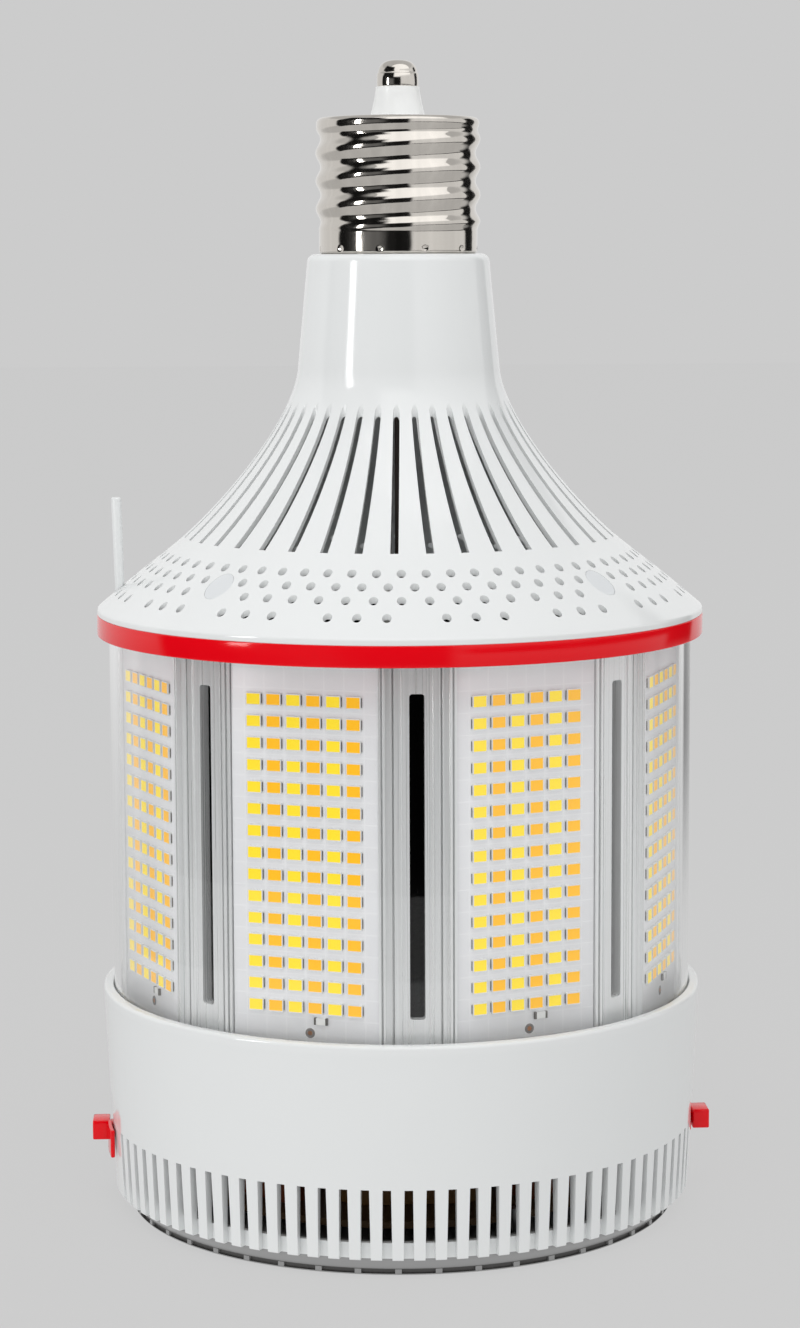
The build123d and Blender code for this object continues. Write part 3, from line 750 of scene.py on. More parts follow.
@dataclass
class UpperHousing:
    """White cone and neck with cooling slits and vent holes, its plugs and the antenna."""

    finishes: Finishes
    wall: float = 1.2 * MM
    ease: float = 0.15 * MM
    rim: float = 1.86 * MM
    rim_rounding: float = 0.9 * MM
    cone_angle: float = radians(37.8)
    cone_width: float = 17.5 * MM
    flare_rise: float = 42.5 * MM
    flare_steps: int = 40
    pull_low: float = 14.4 * MM
    pull_high: float = 12.3 * MM
    neck_radius: float = 24.0 * MM
    neck_angle: float = radians(85)
    neck_rounding: float = 2.0 * MM
    neck_cap: float = 2.4 * MM
    spigot: float = 17.2 * MM
    bore: float = 5.0 * MM
    segments: int = 320
    slit_count: int = 40
    slit_inner: float = 26.3 * MM
    slit_outer: float = 51.5 * MM
    slit_inner_width: float = 1.5 * MM
    slit_outer_width: float = 1.85 * MM
    hole_radius: float = 1.05 * MM
    hole_rows: tuple[float, ...] = (56.4 * MM, 59.86 * MM, 63.28 * MM, 67.38 * MM)
    hole_segments: int = 16
    holes_per_turn: int = 64
    plug_inset: float = 11.2 * MM
    plug_radius: float = 3.35 * MM
    plug_gap: float = 0.06 * MM
    plug_sink: float = 0.05 * MM
    plug_segments: int = 48
    plug_count: int = 4
    plug_clear: float = 4.9 * MM
    antenna_inset: float = 5.5 * MM
    antenna_radius: float = 1.2 * MM
    antenna_taper: float = 0.92
    antenna_gap: float = 0.35 * MM
    antenna_rounding: float = 0.45 * MM
    antenna_lean: float = radians(1.5)

    def __post_init__(self) -> None:
        """Read the levels that the frame fixes and place the plugs and the antenna."""
        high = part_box("upper_housing")[1]
        self.radius, self.spigot_top = high.x, high.z
        self.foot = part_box("trim_ring")[1].z
        self.neck_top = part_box("screw_shell")[0].z
        self.slope = tan(self.cone_angle)
        self.flare_start = self.radius - self.cone_width
        self.flare_base = self.foot + self.rim + self.cone_width * self.slope
        reach, step = self.radius - self.plug_inset, FULL_TURN / self.plug_count
        self.plug_spots = [polar(reach, 0, (k + 0.5) * step) for k in range(self.plug_count)]
        self.plug_level = self.cone_level(reach)
        self.antenna_distance = self.radius - self.antenna_inset
        self.antenna_spot = polar(self.antenna_distance, 0, pi)

    def cone_level(self, distance: float) -> float:
        """Return the height of the cone's surface at a distance from the axis."""
        return self.flare_base - (distance - self.flare_start) * self.slope

    def flare(self, inset: float) -> list[Point]:
        """Sample the curved stretch between cone and neck.

        Args:
            inset: how far the line lies inside the outer surface.

        Returns:
            The points from the cone up to the neck.
        """
        slope, rise = self.cone_angle, self.neck_angle
        low = (self.flare_start - inset * sin(slope), self.flare_base - inset * cos(slope))
        top = self.flare_base + self.flare_rise
        high = (self.neck_radius - inset * sin(rise), top - inset * cos(rise))
        pull = (low[0] - self.pull_low * cos(slope), low[1] + self.pull_low * sin(slope))
        pull_high = (high[0] + self.pull_high * cos(rise), high[1] - self.pull_high * sin(rise))
        return bezier(low, pull, pull_high, high, self.flare_steps)

    def profile(self) -> list[Point]:
        """Draw the closed section of the moulding.

        Returns:
            The corners as radius and height.
        """
        outer, inner = self.flare(0.0), self.flare(self.wall)
        neck = outer[-1][0] - (self.neck_top - outer[-1][1]) / tan(self.neck_angle)
        neck_round, cap = self.neck_rounding, self.neck_top - self.neck_cap
        edge, middle = self.radius - self.wall, 0.5 * self.cone_width
        rim_turn = degrees(QUARTER - self.cone_angle)
        rim_drop = self.rim_rounding * tan(self.cone_angle / 2 + pi / 4) * 0.5
        rim_centre = (self.radius - self.rim_rounding, self.foot + self.rim - rim_drop)
        return [
            (edge, self.foot), (self.radius - self.ease, self.foot), (self.radius, self.foot + self.ease),
            *arc(rim_centre, self.rim_rounding, 0, rim_turn, steps=6),
            (outer[0][0] + middle, outer[0][1] - middle * self.slope),
            *outer,
            *arc((neck - neck_round, self.neck_top - neck_round), neck_round, 4, 90, steps=8),
            (self.spigot, self.neck_top), (self.spigot, self.spigot_top), (self.bore, self.spigot_top),
            (self.bore, cap), (neck - self.wall, cap),
            *inner[::-1],
            (edge, inner[0][1] - (edge - inner[0][0]) * self.slope),
        ]

    def slits(self, bm: BMesh) -> None:
        """Add the prisms that cut the cooling slits.

        Args:
            bm: mesh that takes the prisms.
        """
        half_in, half_out = self.slit_inner_width / 2, self.slit_outer_width / 2
        nose = arc((self.slit_inner + half_in, 0), half_in, 90, 270, steps=8)
        outline = [(self.slit_outer, half_out), *nose, (self.slit_outer, -half_out)]
        for k in range(self.slit_count):
            angle = (k + 0.5) * FULL_TURN / self.slit_count
            spots = [polar(x, y, angle) for x, y in outline]
            prism(bm, spots, self.foot + self.rim, self.neck_top - 2 * self.neck_cap)

    def holes(self, bm: BMesh) -> None:
        """Add the rods that cut the vent holes, none close to a plug and gaps in the last row.

        Args:
            bm: mesh that takes the rods.
        """
        step = FULL_TURN / self.holes_per_turn
        for row, distance in enumerate(self.hole_rows):
            last = row == len(self.hole_rows) - 1
            level = self.cone_level(distance) - 0.3 * self.wall
            for k in range(self.holes_per_turn):
                spot = Vector(polar(distance, 0, FRONT + (k + 0.5 * (row % 2 == 0)) * step))
                near = any((spot - Vector(plug)).length < self.plug_clear for plug in self.plug_spots)
                if not near and not (last and k % 4 == 0):
                    rod(bm, self.hole_radius, 4 * self.wall, shift(*spot, level), self.hole_segments)

    def shell(self) -> None:
        """Model the moulding with all its openings."""
        shell = link_mesh(lathe(self.profile(), self.segments), "cone_housing")
        cutter = bmesh.new()
        self.slits(cutter)
        self.holes(cutter)
        for spot in self.plug_spots:
            place = shift(*spot, self.plug_level)
            rod(cutter, self.plug_radius, 8 * self.wall, place, self.plug_segments)
        place = shift(*self.antenna_spot, self.cone_level(self.antenna_distance))
        rod(cutter, self.antenna_radius + self.antenna_gap, 4 * self.wall, place, segments=24)
        carve(shell, cutter)
        dress(shell, [self.finishes.white], ("upper_housing",), smooth=30)

    def plugs(self) -> None:
        """Model the plugs, cut off along the cone."""
        bm = bmesh.new()
        radius, level = self.plug_radius - self.plug_gap, self.plug_level - 2.2 * self.wall
        for spot in self.plug_spots:
            for vert in rod(bm, radius, 3 * self.wall, shift(*spot, level), self.plug_segments):
                if vert.co.z > level:
                    vert.co.z = self.cone_level(hypot(vert.co.x, vert.co.y)) - self.plug_sink
        dress(link_mesh(bm, "cover_plugs"), [self.finishes.plug], ("screw_plugs",), smooth=20)

    def antenna(self) -> None:
        """Model the antenna rod, which leans out a little."""
        low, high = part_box("antenna")
        length = high.z - low.z
        bm = bmesh.new()
        foot = self.antenna_taper * self.antenna_radius
        rod(bm, foot, length, shift(0, 0, length / 2), segments=32, tip=self.antenna_radius)
        top = [e for e in bm.edges if all(v.co.z > 0.9 * length for v in e.verts)]
        bevel(bm, top, self.antenna_rounding, segments=4)
        lean = shift(*self.antenna_spot, low.z) @ Matrix.Rotation(-self.antenna_lean, 4, "Y")
        bmesh.ops.transform(bm, matrix=lean, verts=bm.verts)
        dress(link_mesh(bm, "antenna_rod"), [self.finishes.antenna], ("antenna",), smooth=40)

    def build(self) -> None:
        """Model all the pieces of the upper housing."""
        self.shell()
        self.plugs()
        self.antenna()


@dataclass
class LightCore:
    """Aluminium core, its light boards, the clear tube and the red ring."""

    finishes: Finishes
    sides: int = 8
    wall: float = 2.8 * MM
    tube_wall: float = 1.5 * MM
    tube_ease: float = 0.25 * MM
    core_gap: float = 0.44 * MM
    core_rounding: float = 0.12 * MM
    trough_half: float = 7.18 * MM
    trough_floor: float = 6.8 * MM
    rail_height: float = 2.2 * MM
    rail_width: float = 1.7 * MM
    ledge_depth: float = 1.4 * MM
    ledge_width: float = 3.6 * MM
    floor_step: float = 0.4 * MM
    vent_width: float = 3.4 * MM
    vent_inset: float = 9.25 * MM
    vent_rounding: float = 0.7 * MM
    fin_depth: float = 14.0 * MM
    fin_thickness: float = 1.6 * MM
    fin_pitch: float = 9.0 * MM
    groove_width: float = 0.45 * MM
    groove_depth: float = 1.4 * MM
    channel_half: float = 1.8 * MM
    channel_wall: float = 1.2 * MM
    channel_depth: float = 18.0 * MM
    board_thickness: float = 1.5 * MM
    board_rounding: float = 0.12 * MM
    slip: float = 0.2 * MM
    columns: int = 6
    rows: int = 15
    column_pitch: float = 4.707 * MM
    row_pitch: float = 4.969 * MM
    chip_size: Triple = (3.5 * MM, 2.8 * MM, 0.7 * MM)
    window_edge: float = 0.2 * MM
    window_sink: float = 0.05 * MM
    joint_width: float = 0.2 * MM
    resistor_size: Triple = (3.2 * MM, 1.6 * MM, 0.55 * MM)
    resistor_end: float = 0.5 * MM
    resistor_side: float = 3.6 * MM
    resistor_raise: float = 8.2 * MM
    spot_side: float = 0.9 * MM
    spot_raise: float = 5.3 * MM
    spot_discs: tuple[Point, ...] = ((1.15 * MM, 0.06 * MM), (0.55 * MM, 0.1 * MM))
    ring_ease: float = 0.3 * MM
    ring_flange: float = 3.5 * MM
    ring_flange_rise: float = 1.2 * MM
    round_segments: int = 256

    def __post_init__(self) -> None:
        """Work out the core's section from the tube."""
        half = pi / self.sides
        self.tube_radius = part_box("clear_tube")[1].x
        corner = self.tube_radius - self.tube_wall - self.core_gap
        self.lip_out = sqrt(corner**2 - self.trough_half**2)
        self.ledge = self.lip_out - self.ledge_depth
        self.floor = self.ledge - self.floor_step
        self.rail_top = self.lip_out * cos(half) + self.trough_half * sin(half)
        self.rail_to = self.lip_out * sin(half) - self.trough_half * cos(half)
        self.rail_from = self.rail_to - self.rail_width
        self.pad = self.rail_top - self.rail_height
        self.low, self.high = (corner.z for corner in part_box("heat_sink"))
        self.board_low, self.board_high = (corner.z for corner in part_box("led_board_1"))
        self.board_height = self.board_high - self.board_low
        self.board_middle = (self.board_low + self.board_high) / 2
        self.board_face = self.pad + self.board_thickness

    def side(self, k: float) -> float:
        """Return the direction of a side, where half numbers are the boards and whole ones the troughs."""
        return FRONT + k * FULL_TURN / self.sides

    def on_board(self, k: int, level: float) -> Matrix:
        """Return the place on the face of a board at a height."""
        return outward(self.side(k + 0.5), self.board_face, level)

    def grooved(self, reach: float, start: float, end: float) -> list[Point]:
        """Draw a narrow land with a fine groove along its middle.

        Args:
            reach: distance of the land from the axis.
            start: side step where it begins.
            end: side step where it ends.

        Returns:
            The corners as distance and side step.
        """
        middle, half = (start + end) / 2, self.groove_width / 2
        near, far, deep = middle - half, middle + half, reach - self.groove_depth
        return [(reach, start), (reach, near), (deep, near), (deep, far), (reach, far), (reach, end)]

    def outline(self) -> list[Point]:
        """Draw the core's outer section.

        Returns:
            The corners in plan.
        """
        half = [(self.floor, self.trough_floor / 2)]
        half += self.grooved(self.ledge, self.trough_half - self.ledge_width, self.trough_half)
        rail = [(self.pad, self.rail_from), *self.grooved(self.rail_top, self.rail_from, self.rail_to)]
        points = []
        for k in range(self.sides):
            here, pad, after = self.side(k), self.side(k + 0.5), self.side(k + 1)
            points += [polar(reach, side, here) for reach, side in half]
            points += [polar(reach, -side, pad) for reach, side in rail[::-1]]
            points += [polar(reach, side, pad) for reach, side in rail]
            points += [polar(reach, -side, after) for reach, side in half[::-1]]
        return points

    def hollow(self) -> list[Point]:
        """Draw the core's inner section with the fins behind each board and the channel behind each vent.

        Returns:
            The corners in plan.
        """
        floor, pad_inner = self.floor - self.wall, self.pad - self.wall
        tip, deep = pad_inner - self.fin_depth, floor - self.channel_depth
        corner, shoulder = self.trough_floor / 2 + self.wall, self.rail_from - self.wall
        outer = self.channel_half + self.channel_wall
        fins = (-self.fin_pitch, 0.0, self.fin_pitch)
        points = []
        for k in range(self.sides):
            here, pad, after = self.side(k), self.side(k + 0.5), self.side(k + 1)
            points += [polar(floor, corner, here), polar(pad_inner, -shoulder, pad)]
            for step in fins:
                near, far = step - self.fin_thickness / 2, step + self.fin_thickness / 2
                points += [polar(pad_inner, near, pad), polar(tip, near, pad)]
                points += [polar(tip, far, pad), polar(pad_inner, far, pad)]
            points += [polar(pad_inner, shoulder, pad), polar(floor, -corner, after)]
            for near, far in ((-outer, -self.channel_half), (self.channel_half, outer)):
                points += [polar(floor, near, after), polar(deep, near, after)]
                points += [polar(deep, far, after), polar(floor, far, after)]
        return points

    def vents(self) -> BMesh:
        """Draw the rounded blocks that cut the vents.

        Returns:
            The blocks.
        """
        bm = bmesh.new()
        size = (self.vent_width, self.board_height - 2 * self.vent_inset, 3 * self.wall)
        for k in range(self.sides):
            block(bm, size, outward(self.side(k), self.floor - self.wall / 2, self.board_middle))
        ends = []
        for edge in bm.edges:
            first, last = (vert.co for vert in edge.verts)
            if abs(first.z - last.z) < TOUCH and abs(first.xy.length - last.xy.length) > self.wall:
                ends.append(edge)
        bevel(bm, ends, self.vent_rounding, segments=4)
        return bm

    def core(self) -> None:
        """Model the extrusion with its vents; its inside faces take a dark finish as painted shade."""
        body, cutter = bmesh.new(), bmesh.new()
        prism(body, self.outline(), self.low, self.high)
        bmesh.ops.recalc_face_normals(body, faces=body.faces)
        core = link_mesh(body, "extruded_core")
        prism(cutter, self.hollow(), self.low - self.wall, self.high + self.wall)
        carve(core, cutter)
        carve(core, self.vents())
        # Faces deeper than just under the trough floor take the dark finish: painted shade inside the hollow
        # core.
        inside, step = self.floor - 0.6 * self.wall, pi / self.sides
        for face in core.data.polygons:
            angle = atan2(face.center.y, face.center.x) - FRONT
            off = (angle + step / 2) % step - step / 2
            face.material_index = int(face.center.xy.length * cos(off) < inside)
        rounding = core.modifiers.new("edge_rounding", "BEVEL")
        rounding.width = self.core_rounding
        rounding.segments = 2
        rounding.limit_method = "ANGLE"
        rounding.angle_limit = radians(30)
        finishes = [self.finishes.aluminium, self.finishes.painted_shade_inside]
        dress(core, finishes, ("heat_sink",), smooth=30)

    def board(self, k: int) -> None:
        """Model one bare board.

        Args:
            k: number of the board, from 0.
        """
        bm = bmesh.new()
        place = outward(self.side(k + 0.5), self.pad + self.board_thickness / 2, self.board_middle)
        block(bm, (2 * (self.rail_from - self.slip), self.board_height, self.board_thickness), place)
        round_edges(bm, self.board_rounding, segments=2)
        layer = bm.loops.layers.uv.new("board")
        back = place.inverted()
        corner = Vector((self.columns * self.column_pitch / 2, self.rows * self.row_pitch / 2))
        for face in bm.faces:
            for loop in face.loops:
                loop[layer].uv = (back @ loop.vert.co).xy + corner
        board = link_mesh(bm, "light_board_%d" % (k + 1))
        dress(board, [self.finishes.mask], ("led_board_%d" % (k + 1),), smooth=30)

    def chip(self, bm: BMesh, place: Matrix, light: int) -> None:
        """Add one light chip: white body, sunk phosphor window and two solder ends.

        Args:
            bm: mesh that takes the chip.
            place: middle of the chip's foot.
            light: material index of the phosphor.
        """
        width, height, rise = self.chip_size
        body = block(bm, self.chip_size, place @ shift(0, 0, rise / 2))
        top = max({f for v in body for f in v.link_faces}, key=lambda f: f.calc_center_median().z)
        bmesh.ops.inset_region(
            bm, faces=[top], thickness=self.window_edge, depth=-self.window_sink, use_even_offset=True
        )
        top.material_index = light
        end = (self.joint_width, 0.75 * height, 0.3 * rise)
        for side in (-1, 1):
            spot = shift(side * (width / 2 + self.joint_width / 4), 0, end[2] / 2)
            paint(block(bm, end, place @ spot), 3)

    def chip_grid(self) -> Mesh:
        """Model the grid of light chips in its own plane, the columns by turns yellow and orange.

        Returns:
            The mesh of the grid, centred on the origin.
        """
        bm = bmesh.new()
        x, y = -(self.columns - 1) * self.column_pitch / 2, -(self.rows - 1) * self.row_pitch / 2
        for column in range(2):
            self.chip(bm, shift(x + column * self.column_pitch, y, 0), 1 + column)
        pair, row = Vector((2 * self.column_pitch, 0, 0)), Vector((0, self.row_pitch, 0))
        for count, step in ((self.columns // 2, pair), (self.rows, row)):
            first = bm.verts[:] + bm.edges[:] + bm.faces[:]
            for k in range(1, count):
                copy = bmesh.ops.duplicate(bm, geom=first)["geom"]
                verts = [item for item in copy if isinstance(item, BMVert)]
                bmesh.ops.translate(bm, verts=verts, vec=k * step)
        grid = bpy.data.meshes.new("chip_grid")
        bm.to_mesh(grid)
        bm.free()
        return grid

    def chips(self, k: int, grid: Mesh) -> None:
        """Place the light chips on one board.

        Args:
            k: number of the board, from 0.
            grid: mesh of the grid.
        """
        bm = bmesh.new()
        bm.from_mesh(grid)
        bmesh.ops.transform(bm, matrix=self.on_board(k, self.board_middle), verts=bm.verts)
        f = self.finishes
        # The phosphor finishes carry a painted glow.
        finishes = [f.chip_body, f.yellow_phosphor_painted_glow, f.orange_phosphor_painted_glow, f.solder]
        dress(link_mesh(bm, "light_chips_%d" % (k + 1)), finishes, smooth=30)

    def resistors(self) -> None:
        """Model the chip resistor at the foot of each board: pale body with tinned ends."""
        bm = bmesh.new()
        (length, width, rise), end = self.resistor_size, self.resistor_end
        for k in range(self.sides):
            foot = self.on_board(k, self.board_low + self.resistor_raise)
            place = foot @ shift(self.resistor_side, 0, rise / 2)
            block(bm, (length - 2 * end, 0.94 * width, 0.96 * rise), place)
            for side in (-1, 1):
                paint(block(bm, (end, width, rise), place @ shift(side * (length - end) / 2, 0, 0)), 1)
        finishes = [self.finishes.chip_body, self.finishes.solder]
        dress(link_mesh(bm, "foot_resistors"), finishes, ("chip_resistors",))

    def spots(self) -> None:
        """Model the round copper test spot at the foot of each board."""
        bm = bmesh.new()
        for k in range(self.sides):
            place = self.on_board(k, self.board_low + self.spot_raise)
            for index, (radius, rise) in enumerate(self.spot_discs):
                spot = place @ shift(self.spot_side, 0, rise / 2)
                paint(rod(bm, radius, rise, spot, segments=24, tip=0.95 * radius), index)
        dress(link_mesh(bm, "test_spots"), [self.finishes.dark_ring, self.finishes.copper])

    def tube(self) -> None:
        """Model the clear tube."""
        low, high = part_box("clear_tube")
        inner, ease = high.x - self.tube_wall, self.tube_ease
        profile = [(inner, low.z), (high.x, low.z), (high.x, high.z - ease), (high.x - ease, high.z)]
        profile += [(inner + ease, high.z), (inner, high.z - ease)]
        tube = link_mesh(lathe(profile, self.round_segments), "tube_clear")
        dress(tube, [self.finishes.clear], ("clear_tube",), smooth=30)

    def ring(self) -> None:
        """Model the red ring with softened edges, white on the inside that faces the boards."""
        low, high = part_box("trim_ring")
        inner, ease = self.tube_radius + self.slip, self.ring_ease
        flange, under = inner - self.ring_flange, high.z - self.ring_flange_rise
        profile = [
            (inner, low.z), (high.x - ease, low.z),
            *arc((high.x - ease, low.z + ease), ease, -90, 0, steps=4)[1:],
            *arc((high.x - ease, high.z - ease), ease, 0, 90, steps=4),
            (flange, high.z), (flange, under), (inner, under),
        ]
        ring = link_mesh(lathe(profile, self.round_segments), "red_ring")
        for face in ring.data.polygons:
            face.material_index = int(face.center.xy.length < inner + self.slip)
        dress(ring, [self.finishes.red, self.finishes.white], ("trim_ring",), smooth=40)

    def build(self) -> None:
        """Model all the pieces of the lit middle."""
        self.core()
        grid = self.chip_grid()
        for k in range(self.sides):
            self.board(k)
            self.chips(k, grid)
        bpy.data.meshes.remove(grid)
        self.resistors()
        self.spots()
        self.tube()
        self.ring()


@dataclass
class LowerSkirt:
    """White skirt with its comb of slots, the smoke-grey cover and the red knobs."""

    finishes: Finishes
    foot: float = 4.5 * MM
    flare: float = 1.7 * MM
    draft: float = 2.4 * MM
    swell_from: float = 20.5 * MM
    swell_to: float = 32.0 * MM
    flat_angle: float = radians(13.5)
    flat_blend: float = radians(2.0)
    wall_rows: int = 28
    wall: float = 2.2 * MM
    ease: float = 0.25 * MM
    lip: float = 0.9 * MM
    shelf_thickness: float = 1.8 * MM
    shelf_width: float = 18.4 * MM
    slip: float = 0.2 * MM
    slot_count: int = 90
    slot_width: float = 2.4 * MM
    slot_top_width: float = 1.91 * MM
    slot_top: float = 16.5 * MM
    slot_inset: float = 0.3 * MM
    band_height: float = 3.6 * MM
    band_thickness: float = 1.6 * MM
    bare_angle: float = radians(13)
    window: Point = (14.2 * MM, 3.6 * MM)
    knob_level: float = 17.5 * MM
    knob_face: Point = (6.8 * MM, 4.7 * MM)
    knob_reach: float = 4.9 * MM
    knob_rounding: float = 0.35 * MM
    stem: Point = (4.0 * MM, 3.0 * MM)
    stem_inset: float = 4.5 * MM
    shield_height: float = 8.8 * MM
    shield_thickness: float = 1.0 * MM
    shield_angle: float = radians(20)
    running_gap: float = 0.3 * MM
    rim: float = 1.5 * MM
    rim_step: float = 2.0 * MM
    rim_groove: float = 0.7 * MM
    rim_base: float = 0.3 * MM
    rim_ease: float = 0.15 * MM
    groove_draft: float = 0.05 * MM
    flange_low: float = 3.65 * MM
    flange_ease: float = 0.1 * MM
    cover_floor: float = 2.4 * MM
    cover_wall: float = 2.0 * MM
    rib_count: int = 45
    rib_width: float = 1.5 * MM
    segments: int = 360

    def __post_init__(self) -> None:
        """Read the levels that the frame fixes."""
        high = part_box("lower_skirt")[1]
        self.upper, self.top = high.x, high.z
        self.radius = self.upper - self.flare
        self.inner = self.radius - self.wall
        self.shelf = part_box("heat_sink")[0].z
        self.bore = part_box("clear_tube")[1].x + self.slip

    def taper(self, level: float) -> float:
        """Return the wall's outer radius at a height: the draft narrows it towards the foot."""
        return self.upper - self.draft * (self.top - level) / (self.top - self.foot)

    def from_knob(self, angle: float) -> float:
        """Return how far a direction is turned from the nearer knob."""
        return abs((angle + QUARTER) % pi - QUARTER)

    def beside_knob(self, level: float) -> float:
        """Return the outer radius at a height of the flatter stretch that carries a knob."""
        rise = (level - self.foot - self.swell_from) / (self.swell_to - self.swell_from)
        return self.radius + self.flare * (1 - (1 - min(1.0, max(0.0, rise))) ** 2)

    def profile(self) -> list[Point]:
        """Draw the closed section of the moulding.

        Returns:
            The corners as radius and height.
        """
        low, crest = self.foot + self.ease, self.top - self.lip
        levels = [low + k * (crest - self.foot - self.ease) / self.wall_rows for k in range(self.wall_rows)]
        shelf_end, under = self.inner - self.shelf_width, self.shelf - self.shelf_thickness
        band, band_top = self.inner - self.band_thickness, self.foot + self.band_height
        return [
            (band, self.foot), (self.taper(self.foot) - self.ease, self.foot),
            *((self.taper(level), level) for level in levels),
            *arc((self.upper - self.lip, crest), self.lip, 0, 90, steps=5),
            (self.bore + self.ease, self.top), (self.bore, self.top - self.ease), (self.bore, self.shelf),
            (shelf_end, self.shelf), (shelf_end, under), (self.inner, under),
            (self.inner, band_top), (band, band_top),
        ]

    def slots(self) -> BMesh:
        """Draw the tapered blocks that cut the comb of slots, none of them close to a knob.

        Returns:
            The blocks.
        """
        bm = bmesh.new()
        near, far = self.inner - self.slot_inset, self.radius + self.wall
        low, high = self.foot - self.wall, self.foot + self.slot_top
        squeeze = self.slot_top_width / self.slot_width
        for k in range(self.slot_count):
            angle = k * FULL_TURN / self.slot_count
            if self.from_knob(angle) <= self.bare_angle:
                continue
            place = outward(angle, (near + far) / 2, (low + high) / 2)
            slot = block(bm, (self.slot_width, high - low, far - near), place)
            upper = [v for v in slot if v.co.z > self.foot]
            bmesh.ops.scale(bm, vec=(squeeze, 1, 1), space=place.inverted(), verts=upper)
        return bm

    def shell(self) -> None:
        """Model the skirt, flatter beside the knobs, with its slots and the windows for the knobs."""
        bm = lathe(self.profile(), self.segments)
        flat = self.flat_angle + self.flat_blend
        for vert in bm.verts:
            across = hypot(vert.co.x, vert.co.y)
            off = self.from_knob(atan2(vert.co.y, vert.co.x))
            if across < self.taper(vert.co.z) - TOUCH or off > flat:
                continue
            share = min(1.0, (flat - off) / self.flat_blend)
            step = max(0.0, across - self.beside_knob(vert.co.z))
            vert.co.xy *= 1 - share * step / across
        shell = link_mesh(bm, "skirt_housing")
        carve(shell, self.slots())
        windows = bmesh.new()
        for angle in (0.0, pi):
            block(windows, (*self.window, 4 * self.wall), outward(angle, self.radius, self.knob_level))
        carve(shell, windows)
        dress(shell, [self.finishes.white], ("lower_skirt",), smooth=30)

    def knob(self, name: str, node: str, body: Body, angle: float) -> None:
        """Model a slide knob with its curved shield and the stem that runs in the window.

        Args:
            name: name of the piece.
            node: solid that it replaces.
            body: body that it rides on.
            angle: direction of the knob.
        """
        bm = bmesh.new()
        near, half = self.radius + self.running_gap, self.shield_thickness / 2
        far = near + self.shield_thickness
        width, height = self.knob_face
        start = degrees(angle + 0.6 * width / 2 / far)
        end = degrees(angle + self.shield_angle / 2)
        outline = arc((0, 0), far, start, end, steps=16) + arc((0, 0), near, end, start, steps=16)
        prism(bm, outline, self.knob_level - self.shield_height / 2, self.knob_level + height / 2)
        reach = self.radius + self.knob_reach - far + half
        place = outward(angle, far - half + reach / 2, self.knob_level)
        block(bm, (*self.knob_face, reach), place)
        stem_from = self.inner - self.stem_inset
        length = near - stem_from + half
        block(bm, (*self.stem, length), outward(angle, stem_from + length / 2, self.knob_level))
        bmesh.ops.recalc_face_normals(bm, faces=bm.faces)
        round_edges(bm, self.knob_rounding, segments=3, angle=50)
        dress(link_mesh(bm, name), [self.finishes.red], (node,), smooth=35, body=body)

    def cover(self) -> None:
        """Model the bottom cover with its grooved and ribbed rim."""
        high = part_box("bottom_cover")[1]
        rim, ease, groove, draft = self.rim, self.rim_ease, self.rim_groove, self.groove_draft
        flange, foot, groove_top = high.x, high.x - self.rim_step, rim - ease - draft
        spigot = self.inner - self.band_thickness - self.slip
        profile = [
            (0.0, 0.0), (foot - ease, 0.0), (foot, ease), (foot, self.rim_base),
            (foot - groove, self.rim_base + draft), (foot - groove, groove_top),
            (foot, rim - ease), (foot, rim),
            (flange - self.flange_ease, self.flange_low), (flange, self.flange_low + 2 * self.flange_ease),
            (flange, self.foot), (spigot, self.foot), (spigot, high.z), (spigot - self.cover_wall, high.z),
            (spigot - self.cover_wall, self.cover_floor), (0.0, self.cover_floor),
        ]
        bm = lathe(profile, self.segments)
        # The groove's faces take the darker grey: painted shade in the recess between the ribs.
        for face in bm.faces:
            middle = face.calc_center_median()
            in_rim = hypot(*middle.xy) > foot - 1.1 * groove
            face.material_index = int(self.rim_base < middle.z < rim and in_rim)
        rib = (self.rib_width, groove_top, groove)
        for k in range(self.rib_count):
            angle = FRONT + (k + 0.5) * FULL_TURN / self.rib_count
            block(bm, rib, outward(angle, foot - groove / 2 - draft, rim / 2))
        finishes = [self.finishes.smoke, self.finishes.smoke_painted_shade]
        dress(link_mesh(bm, "smoke_cover"), finishes, ("bottom_cover",))

    def build(self) -> None:
        """Model all the pieces of the lower end."""
        self.shell()
        self.knob("power_slide_knob", "power_knob", Body.POWER, pi)
        self.knob("colour_slide_knob", "colour_knob", Body.COLOUR, 0.0)
        self.cover()


@dataclass
class Driver:
    """Solids inside the lamp that keep their own shape and take a finish."""

    finishes: Finishes

    def build(self) -> None:
        """Dress the solids that are only glimpsed through the openings."""
        f = self.finishes
        chosen = {
            "top_plate": f.aluminium,
            "power_switch": f.steel,
            "colour_switch": f.steel,
            "housing_screws": f.steel,
            "cover_screws": f.steel,
            "driver_board": f.laminate,
            "transformer": f.tape,
            "capacitors": f.sleeve,
            "film_capacitors": f.film,
            "choke": f.winding,
            "lead_connector": f.nylon,
            "line_lead": f.brown_wire,
            "neutral_lead": f.white_wire,
        }
        for name, material in chosen.items():
            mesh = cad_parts[name].data
            mesh.materials.clear()
            mesh.materials.append(material)
            log.info("%s keeps its solid and takes %s", name, material.name)


class Rays(Enum):
    """Rays that see a studio lamp."""

    GLOSS = "gloss"
    DIFFUSE = "diffuse"


@dataclass(frozen=True)
class Softbox:
    """A studio lamp: bearing in degrees from the camera, place, size, watts, height it faces and its rays."""

    name: str
    bearing: float
    distance: float
    height: float
    size: Point
    power: float
    aim: float
    rays: Rays


@dataclass(frozen=True)
class Card:
    """A card round the lamp: bearings in degrees from the camera, heights, brightness and soft edges."""

    name: str
    start: float
    end: float
    distance: float
    low: float
    high: float
    colour: Colour
    soft_side: float
    soft_end: float


